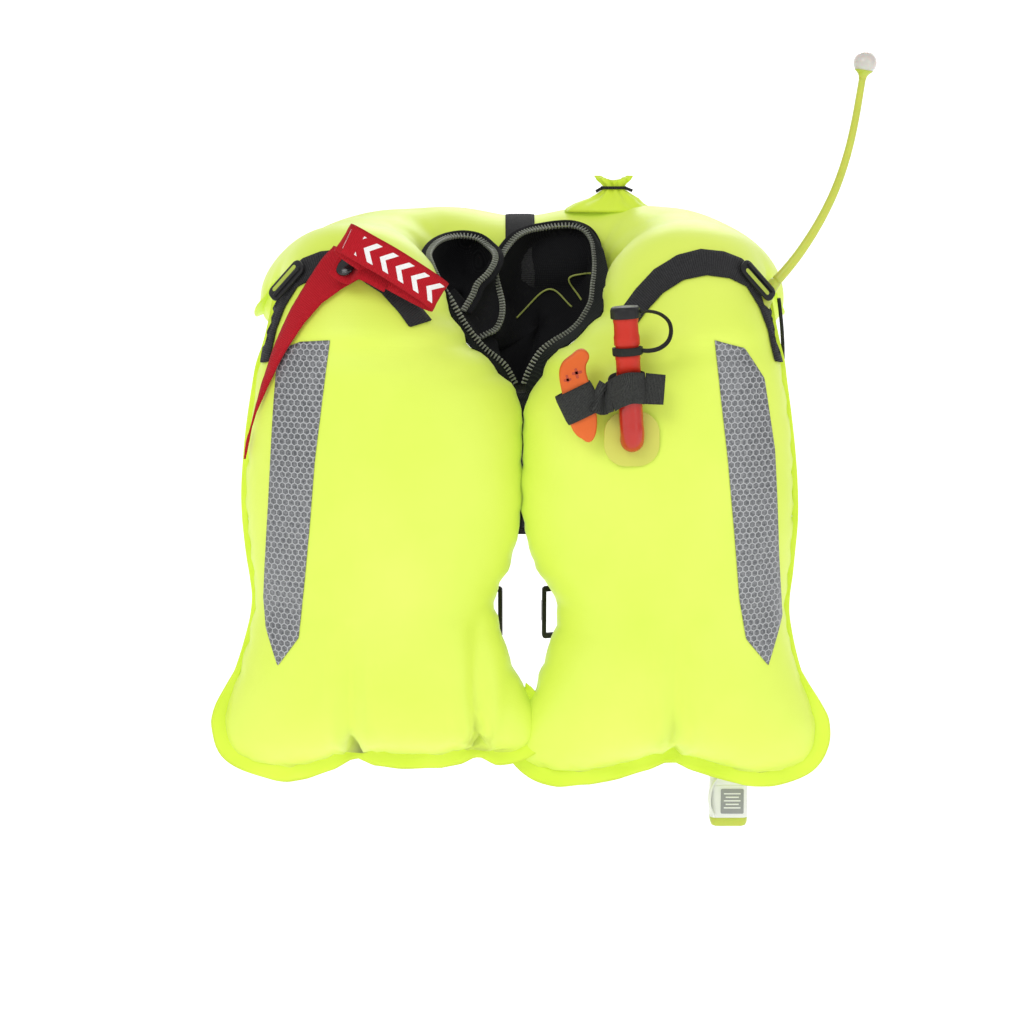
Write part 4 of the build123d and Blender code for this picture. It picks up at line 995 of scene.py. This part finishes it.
# Neck webbing wraps the chamber behind the neck.
NECK_X = -1.2
neck_ring = []
for p in np.array((NECK_X, 110, 10)) + circle(90, np.array((0, 95, 0)), np.array((0, 0, 85))):
    hit, normal = nearest_skin(p)
    neck_ring.append(hit + normal * 1.6)
neck_ring = np.array(neck_ring)
for _ in range(3):
    neck_ring = (neck_ring + np.roll(neck_ring, 1, 0) + np.roll(neck_ring, -1, 0)) / 3
neck_ring[:, 0] = NECK_X
ribbon("neck_webbing_band", neck_ring, (1, 0, 0), 24.8, 1.6, "black_web", closed=True,
       stands_for="neck_webbing")

# ------------------------------------------------------------------ oral inflation tube, cap and tether
FOOT = np.array((84.6, -163.0, -104.0))
TUBE_UP = unit((-6.1, -3.0, 96.0))
TUBE = axes(FOOT, (1, 0, 0), TUBE_UP)


def on_tube(x, y, z):
    """A point in the tube's own plane, z up from its foot."""
    return local(TUBE, [(x, y, z)])[0]


slab("oral_patch", rounded_rect(43, 43, 17, 10), ((84.6, -153.2, -104), *FRONT), -1.0, 0.5, "patch", 0.6,
     stands_for="oral_tube_flange")
bend = [(84.6, -151.8, -103.6), (84.6, -158.5, -104.4), (84.5, -162.8, -99)]
rise = [on_tube(0, 0, h) for h in (14, 26, 34, 44, 51.5)]
tube("oral_tube_elbow", spline(bend + rise, step=1.6), 9.3, "red_gloss", sides=36, stands_for="oral_tube")
# Out and up the grips, over the mouth, then down the bore that the valve moves in.
knobs = [(0.3, 51.6), (9.3, 51.6), (9.3, 62), (9.6, 63), (9.7, 66), (9.0, 67), (9.0, 73), (9.9, 74),
         (9.9, 80), (9.4, 82), (9.3, 90), (9.7, 92), (9.7, 96), (9.1, 97), (9.1, 101), (7.4, 101), (7.4, 54),
         (0.3, 54)]
lathe("oral_tube_head", FOOT, TUBE_UP, knobs, "red", sides=48, slot="red_plastic",
      ridge=lambda a, h: 1 + (0.02 * math.cos(6 * a) if 73 < h < 83 else 0))
collar = [(9.5, 66), (11.2, 66), (11.5, 66.8), (11.5, 71.2), (11.2, 72), (9.5, 72)]
lathe("oral_tether_ring", FOOT, TUBE_UP, collar, "rubber", sides=60, slot="black_rubber",
      ridge=lambda a, h: 1 + 0.045 * max(0, math.cos(9 * a)) ** 2)
cap = [(9.6, 94.2), (11.0, 94.2), (11.3, 94.9), (11.3, 100.6), (10.9, 102.2), (9.8, 103.2), (9.0, 102.8),
       (8.4, 103.0), (4.5, 103.5), (0.3, 103.6)]
lathe("oral_cap_cup", FOOT, TUBE_UP, cap, "black", sides=72, stands_for="oral_cap", body="oral_cap_body",
      ridge=lambda a, h: 1 + (0.018 * math.cos(24 * a) if 94.5 < h < 101 else 0))
SPRING_TURNS, SPRING_FOOT, SPRING_TALL = 5, 75.9, 12.0
coil = [on_tube(3 * math.cos(a), 3 * math.sin(a),
                SPRING_FOOT + SPRING_TALL * a / (2 * math.pi * SPRING_TURNS))
        for a in np.linspace(0, 2 * math.pi * SPRING_TURNS, 24 * SPRING_TURNS)]
valve_coil = tube("valve_spring_coil", coil, 0.4, "steel", sides=8, stands_for="oral_valve_spring")
metres(on_tube(0, 0, SPRING_FOOT - 0.4))
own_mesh(valve_coil)
TETHER = [(10.8, 69), (17, 68.4), (25, 70), (31.5, 75), (34, 82.5), (32.5, 90), (26.5, 95.8), (19, 98.4),
          (11, 98.8)]
tether_mid = spline([on_tube(x, -2, z) for x, z in TETHER], step=1.3)
tether_out = unit(np.cross(tangents(tether_mid), TUBE[2]))
tether = ribbon("cap_tether_strip", tether_mid, TUBE[2] * 0.86 + tether_out * 0.5, 5.2, 1.2, "rubber",
                body=None, stands_for="cap_tether")
metres(on_tube(11, -2, 70))
metres(on_tube(11, -2, 98))
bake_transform(tether)

# ------------------------------------------------------------------ whistle, hook-and-loop strap
WHISTLE_OUTLINE = [(37.9, -38.4), (42, -35), (46.2, -34.0), (49.5, -36), (51.6, -39.2), (50.6, -42.6),
                   (48.9, -46), (48.7, -50), (49.6, -54.5), (51.4, -60), (54.9, -69), (57.0, -82),
                   (57.4, -92), (56.4, -99.5), (53.6, -104.8), (49.4, -106.0), (46.5, -103.6),
                   (42.5, -101.2), (38.8, -96.5), (36.2, -90.5), (32.6, -77), (30.0, -66), (28.3, -56),
                   (28.6, -49.5), (31.1, -44.0)]
slab("whistle_shell", closed_spline(WHISTLE_OUTLINE, 2.2), ((0, -157.2, 0), *FRONT), -5.6, 5.8, "orange", 2.4,
     stands_for="whistle", body="whistle_body")
# The slots are not cut into the shell: flat darker orange patches on its face are painted shade for the
# inside of each slot.
M["slot"] = moulded("whistle_slots_painted_shade", (0.52, 0.075, 0.02), (0.42, 0.05, 0.015), 0.5)
SLOTS = [(41.5, -52.5, 2.2, 8), (41.8, -52.0, 8, 2.2), (34.5, -56.5, 2.0, 6), (34.6, -57.5, 6, 2.0)]
for k, (x, z, w, h) in enumerate(SLOTS):
    plane = ((x, -163.0, z), (0.97, 0, 0.22), (-0.22, 0, 0.97), (0, -1, 0))
    slab(f"whistle_slot_shade_{k}", rounded_rect(w, h, 0.8, 3), plane, -0.6, 0.12, "slot", 0,
         slot="whistle_plastic", body="whistle_body")

BAND = axes((43.6, -157.4, -75.5), (math.cos(math.radians(26)), 0, math.sin(math.radians(26))),
            (-math.sin(math.radians(26)), 0, math.cos(math.radians(26))))
c, s = np.cos(turn(64)), np.sin(turn(64))
band_path = local(BAND, zip(14.6 * np.sign(c) * abs(c) ** 0.7, 7.6 * np.sign(s) * abs(s) ** 0.55, 0 * c))
ribbon("strap_round_whistle", band_path, BAND[3], 24, 1.5, "hook_web", closed=True, slot="black_webbing",
       stands_for="accessory_strap")
fold = spline([(55, -161.5, -68), (58.5, -165, -70.5), (60.5, -163, -72.5), (62.5, -160.5, -73),
               (65, -163.5, -71.5), (68.5, -168, -69.5)], step=1.2)
ribbon("strap_fold", fold, (0.10, 0.05, 1), np.linspace(23, 24, len(fold)), 1.5, "hook_web",
       slot="black_webbing")
over = spline([(67.5, -167.2, -70.2), (70.6, -171.3, -67.5), (75.2, -175.4, -64.8), (81.6, -177.4, -62.6),
               (87.4, -175.9, -62.6), (91, -172, -63.2), (92.8, -168.9, -63.6), (93.5, -168.2, -63.6)],
              step=1.2)
ribbon("strap_over_tube", over, (-0.03, 0, 1), 24, 1.5, "hook_web", slot="black_webbing")
under = spline([(93.4, -167.8, -63.6), (93.2, -161, -63), (88, -154.8, -62.6), (79, -153.6, -63),
                (71, -156, -65), (67, -163, -68.5), (67.6, -167, -70)], step=1.5)
ribbon("strap_under_tube", under, (-0.03, 0, 1), 23.5, 1.3, "hook_web", slot="black_webbing")
tab = spline([(93.6, -168.3, -63.6), (98.5, -169.1, -63.9), (103, -169.1, -64.2), (108.6, -168.4, -64.6)],
             step=0.8)
tab_end = ribbon("strap_tab_end", tab, (-0.06, 0, 1), np.linspace(24, 23, len(tab)), 1.5, "hook_web",
                 stands_for="strap_peel_tab", body=None)
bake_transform(tab_end)

# ------------------------------------------------------------------ shoulder sliders
for side_name, sign in (("port", 1), ("starboard", -1)):
    name = f"elastic_slider_frame_{side_name}"
    plane = axes((184 * sign, -96, 14), (0.45 * sign, 0.3, -0.85), (0.55 * sign, -0.62, 0.42))
    o, x, y, z = plane
    slab(name, rounded_rect(37, 15.5, 5.5, 6), (o + z * 1.2, x, y, z), 0, 2.6, "black", 0.9,
         stands_for=f"elastic_slider_{side_name}")
    slab(name + "_window", rounded_rect(27, 4.2, 1.9, 5), (o + z * 1.2 - y * 2.6, x, y, z), 2.0, 2.75,
         "lime", 0, slot="lime_plastic")
    rail = spline(local(plane, [(-15, 3.2, 4.2), (0, 3.2, 4.6), (15, 3.2, 4.2)]), step=1.5)
    tube(name + "_bar", rail, 1.5, "black", sides=12, slot="black_plastic")

# ------------------------------------------------------------------ rescue light
def cord_curve(name, route, diameter, facets, finish_name, body, cad_node):
    """A free cord: a NURBS line whose control points are the points of its route."""
    curve = bpy.data.curves.new(name, "CURVE")
    curve.dimensions = "3D"
    curve.resolution_u = 8
    strand = curve.splines.new("NURBS")
    strand.points.add(len(route) - 1)
    for point, place in zip(strand.points, route):
        point.co = (*metres(place), 1)
    strand.order_u = 3
    strand.use_endpoint_u = True
    curve.bevel_depth = diameter / 2 * MM
    curve.bevel_resolution = facets
    curve.use_fill_caps = True
    curve.materials.append(M[finish_name])
    piece = bpy.data.objects.new(name, curve)
    bpy.context.scene.collection.objects.link(piece)
    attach(piece, body)
    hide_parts(cad_node)
    return piece


STEM = spline([(201, -80, 13), (209.5, -80, 22.5), (221, -80, 37.5), (235, -80, 60), (247, -80, 85),
               (256, -80, 112), (261.8, -80, 138), (267.5, -80, 174)], step=4)
share = np.linspace(0, 1, len(STEM))
tube("light_stem_flex", STEM, 4.2 - 1.5 * share ** 0.7, "lime", sides=20, stands_for="light_stem",
     body="light_stem_body")
foot_line = spline([(188.5, -85, -4), (193, -83.5, 3), (197.5, -81.4, 9), (201.5, -80, 13.5)], step=1.4)
foot_share = np.linspace(0, 1, len(foot_line))
tube("light_foot_flare", foot_line, 9.0 - 4.6 * foot_share ** 0.8, "lime", sides=24, stands_for="light_base")
LENS_UP = unit(STEM[-1] - STEM[-3])
cup = [(0.3, -3), (2.9, -2), (3.2, 0), (4.0, 1.6), (5.3, 3), (6.8, 4.2), (7.2, 4.9), (6.8, 5.3), (6.2, 5),
       (0.3, 4.8)]
lathe("light_cup", STEM[-1], LENS_UP, cup, "lime", body="light_stem_body", slot="lime_plastic")
BALL_R, BALL_UP = 9.0, 10.6
ball = [(BALL_R * math.cos(a), BALL_UP + BALL_R * math.sin(a)) for a in np.radians(np.arange(-38, 90, 8))]
ball = [(0.3, 4.9), (6.2, 4.9)] + ball + [(0.3, BALL_UP + BALL_R)]
lathe("light_ball", STEM[-1], LENS_UP, ball, "lens", sides=36, stands_for="light_lens",
      body="light_stem_body")
emitter = [(0.3, 7.6), (2.4, 7.6), (2.4, 10), (1.6, 11.6), (0.3, 12)]
lathe("light_emitter", STEM[-1], LENS_UP, emitter, "white", sides=20,
      body="light_stem_body", slot="white_plastic")

# Lead from the light to its battery, held behind the lobe.
LEAD_ROUTE = [(204, -80, 0), (211, -69, -42), (207, -53, -88), (193, -41, -134), (184, -36, -183),
              (178, -33, -236), (174, -32, -290), (172.5, -32, -327), (172.5, -32, -352)]
lead = cord_curve("light_lead_cable", LEAD_ROUTE, 3.0, 4, "rubber", "jacket", "light_lead")

# ------------------------------------------------------------------ battery unit
BATTERY = np.array((172.5, -32.0, -352.0))


def loft_rects(name, rows, finish_name, centre=BATTERY, **more):
    """Rounded-rectangle rings at (z below the centre, width, depth, corner)."""
    verts = []
    for drop, w, d, r in rows:
        for x, y in rounded_rect(w, d, r, 5):
            verts.append(centre + np.array((x, y, -drop)))
    return loft(name, verts, len(verts) // len(rows), finish_name, **more)


CASE = [(0, 12, 10, 4), (1, 20, 14, 5), (5, 29.5, 18.6, 5), (8, 31, 20, 5), (52, 31, 20, 5),
        (52.6, 30.2, 19.2, 5), (54, 30.2, 19.2, 5), (54.6, 31, 20, 5), (81.6, 31, 20, 5)]
CASE_FOOT = [(81.7, 30.4, 19.6, 5), (82.6, 31, 20, 5), (86, 30.4, 19.4, 5), (88.6, 28.4, 17.4, 4.5),
             (89.6, 25, 14, 4)]
sharpen(loft_rects("battery_case", CASE, "white", stands_for="battery_housing"), 25)
sharpen(loft_rects("battery_foot", CASE_FOOT, "lime", stands_for="battery_end_cap"), 25)
LABEL = (BATTERY + np.array((2.5, -10.2, -67.5)), *FRONT)
slab("battery_label", rounded_rect(19, 21, 1, 3), LABEL, -0.3, 0.25, "label", 0.0, slot="white_plastic")
for k in range(5):
    bar = (LABEL[0] + (0, -0.3, 6.5 - 3 * k), *FRONT)
    slab(f"battery_label_bar_{k}", rounded_rect(14 - 3 * (k % 2), 1.1, 0.3, 2), bar, -0.1, 0.12, "white", 0.0,
         slot="white_plastic")
clip_line = spline([(163, -40, -398), (158.5, -42.5, -404), (156.2, -43, -414), (156.8, -42.5, -424),
                    (160, -41.5, -431)], step=1.5)
ribbon("battery_clip", clip_line, (0, 1, 0.1), 9, 2.2, "white", slot="white_plastic")

# ------------------------------------------------------------------ sprayhood pouch
POUCH = np.array((79.0, 96.0, 0.0))
# (height, x radius, y radius, depth of the pleats), from the base through the tie to the mouth.
POUCH_ROWS = [(64, 38, 25, 0.02), (67, 36, 24, 0.03), (71, 29, 20, 0.05), (75.5, 20, 15, 0.09),
              (80, 12.5, 10.5, 0.14), (83, 8.6, 7.6, 0.16), (85.4, 8.2, 7.2, 0.16), (87.5, 9.6, 7.8, 0.18),
              (90, 12.4, 8.6, 0.2), (93, 14.5, 8.8, 0.2)]
MOUTH = len(POUCH_ROWS) - 1
POUCH_ROWS += [(93 - 1.4 * row, 13.4 - 2.2 * row, 7.9 - 1.2 * row, 0.2) for row in range(5)]
pouch_verts = []
for row, (z, rx, ry, pleat) in enumerate(POUCH_ROWS):
    for a in turn(72):
        swell = 1 + pleat * math.sin(9 * a + 0.4 * min(row, MOUTH))
        crown = max(0, z - 86) * 0.55 * (abs(math.cos(a)) ** 1.5 - 0.55)
        lean = -4 if z < 72 else 0
        pouch_verts.append(POUCH + (rx * swell * math.cos(a) + lean, ry * swell * math.sin(a), z + crown))
loft("sprayhood_gather", pouch_verts, 72, "flange", stands_for="sprayhood_pouch")
TIE = POUCH + (0, 0, 84.4)
ribbon("sprayhood_cord", TIE + circle(60, np.array((10.2, 0, 0)), np.array((0, 9.2, 0))), (0, 0, 1), 2.6,
       1.8, "black_web", closed=True, stands_for="sprayhood_tie")
for k, end in enumerate(((-15, -8, 81.5), (15.5, -7, 82.0))):
    tail = spline([TIE + (9.6 * np.sign(end[0]), -2, 0), POUCH + end], step=1)
    ribbon(f"sprayhood_cord_end_{k}", tail, (0, 0.3, 1), 2.6, 1.4, "black_web", slot="black_webbing")

# ------------------------------------------------------------------ vest behind the lobes
VEST_LINE = [(-25.7, -299), (-25.7, -240), (-25.6, -170), (-25.6, -105), (-20, -83), (-4, -65), (22, -59),
             (60, -58.5), (92, -59.5), (112, -72), (134, -103), (167, -149)]


def vest_panel(name, x_mid, wide, points, cad_node):
    """A panel along (y, z) points with bound edges and two lines of piping."""
    line = spline([(x_mid, y, z) for y, z in points], step=4)
    ribbon(name, line, (1, 0, 0), wide, 2.4, "neoprene", across=15, edge=0.6, stands_for=cad_node)
    for k, shift in enumerate((-wide / 2 + 1.2, wide / 2 - 1.2)):
        tube(f"{name}_binding_{k}", line + (shift, 0, 0), 1.9, "black_web", sides=10, slot="black_webbing")
    face = unit(np.cross(tangents(line), (1, 0, 0)))
    for k, shift in enumerate((-wide / 2 + 9, wide / 2 - 9)):
        tube(f"{name}_piping_{k}", line + (shift, 0, 0) - face * 1.3, 0.7, "piping", sides=8,
             slot="dark_fabric")


vest_panel("vest_panel_starboard", -81.5, 73, VEST_LINE, "vest_side_starboard")
vest_panel("vest_panel_port", 81.5, 73, VEST_LINE, "vest_side_port")
vest_panel("vest_yoke_panel", 0, 89, [(112.5, -71), (130, -97), (150, -125), (167.5, -149.5)],
           "vest_back_yoke")
back_line = spline([(0, 171, -151), (0, 185, -163), (0, 195.5, -181), (0, 198.5, -205), (0, 200, -231)],
                   step=2.5)
ribbon("back_strap_webbing", back_line, (1, 0, 0), 40, 2.4, "black_web", stands_for="back_strap")

# ------------------------------------------------------------------ waist belt
BELT_TILT = math.radians(15.4)
BELT = axes((0, 85, -235), (1, 0, 0), (0, -math.sin(BELT_TILT), math.cos(BELT_TILT)))
BELT_WIDE, BELT_DEEP, EYE_R = 155, 109, 4.4
for side_name, start, stop in (("starboard", 255.0, 90.4), ("port", -75.4, 89.6)):
    a = np.radians(np.linspace(start, stop, 120))
    path = local(BELT, zip(BELT_WIDE * np.cos(a), BELT_DEEP * np.sin(a), 0 * a))
    ribbon(f"belt_run_{side_name}", path, BELT[3], 38, 2.0, "black_web", stands_for=f"waist_belt_{side_name}")
    away = unit(path[0] - path[1])
    eye = path[0] - away * 5.4 + circle(40, away * EYE_R, np.cross(BELT[3], away) * EYE_R)
    ribbon(f"belt_eye_{side_name}", eye, BELT[3], 36, 1.9, "black_web", closed=True, slot="black_webbing")

# ------------------------------------------------------------------ pull cord of the inflator
CORD_ROUTE = [(-168.5, -12.6, -158), (-168.5, -6, -158), (-168.5, -0.9, -158.4), (-168.5, -0.6, -164),
              (-168.5, -0.6, -205), (-168.5, -0.6, -249)]
pull_line = cord_curve("pull_cord_line", CORD_ROUTE, 2.6, 3, "black_web", "pull_toggle_body", "pull_cord")
grip_rows = [(0, 8, 6.6, 2.6), (1.2, 10, 8, 3.2), (30, 14.2, 9.6, 4.2), (33, 14.6, 9.8, 4.2),
             (34, 12.6, 7.8, 3.4)]
grip = sharpen(loft_rects("pull_grip", grip_rows, "red", centre=np.array((-168.5, -0.6, -248)),
                          stands_for="pull_toggle", body="pull_toggle_body"), 30)
for k in range(4):
    plane = ((-168.5, -4.0 - 0.35 * k, -256 - 6 * k), *FRONT)
    slab(f"pull_grip_rib_{k}", rounded_rect(9 + k, 1.4, 0.6, 3), plane, -0.8, 0.9, "red", 0.3,
         slot="red_plastic", body="pull_toggle_body")

# ------------------------------------------------------------------ studio floor
FLOOR_Z = -480.0
floor_rows = spline([(0, -4000, FLOOR_Z), (0, 1500, FLOOR_Z), (0, 2600, FLOOR_Z + 200),
                     (0, 3300, FLOOR_Z + 1200), (0, 3400, FLOOR_Z + 5000)], step=120)
floor_verts = [(x, y, z) for _, y, z in floor_rows for x in (-6000, 6000)]
M["floor"] = Graph("studio_paper", (0.95, 0.95, 0.95), 0.9, Emission_Strength=0.38).material
floor = finish("studio_floor", floor_verts, grid_faces(len(floor_rows), 2, wrap_columns=False), "floor",
               body=None)
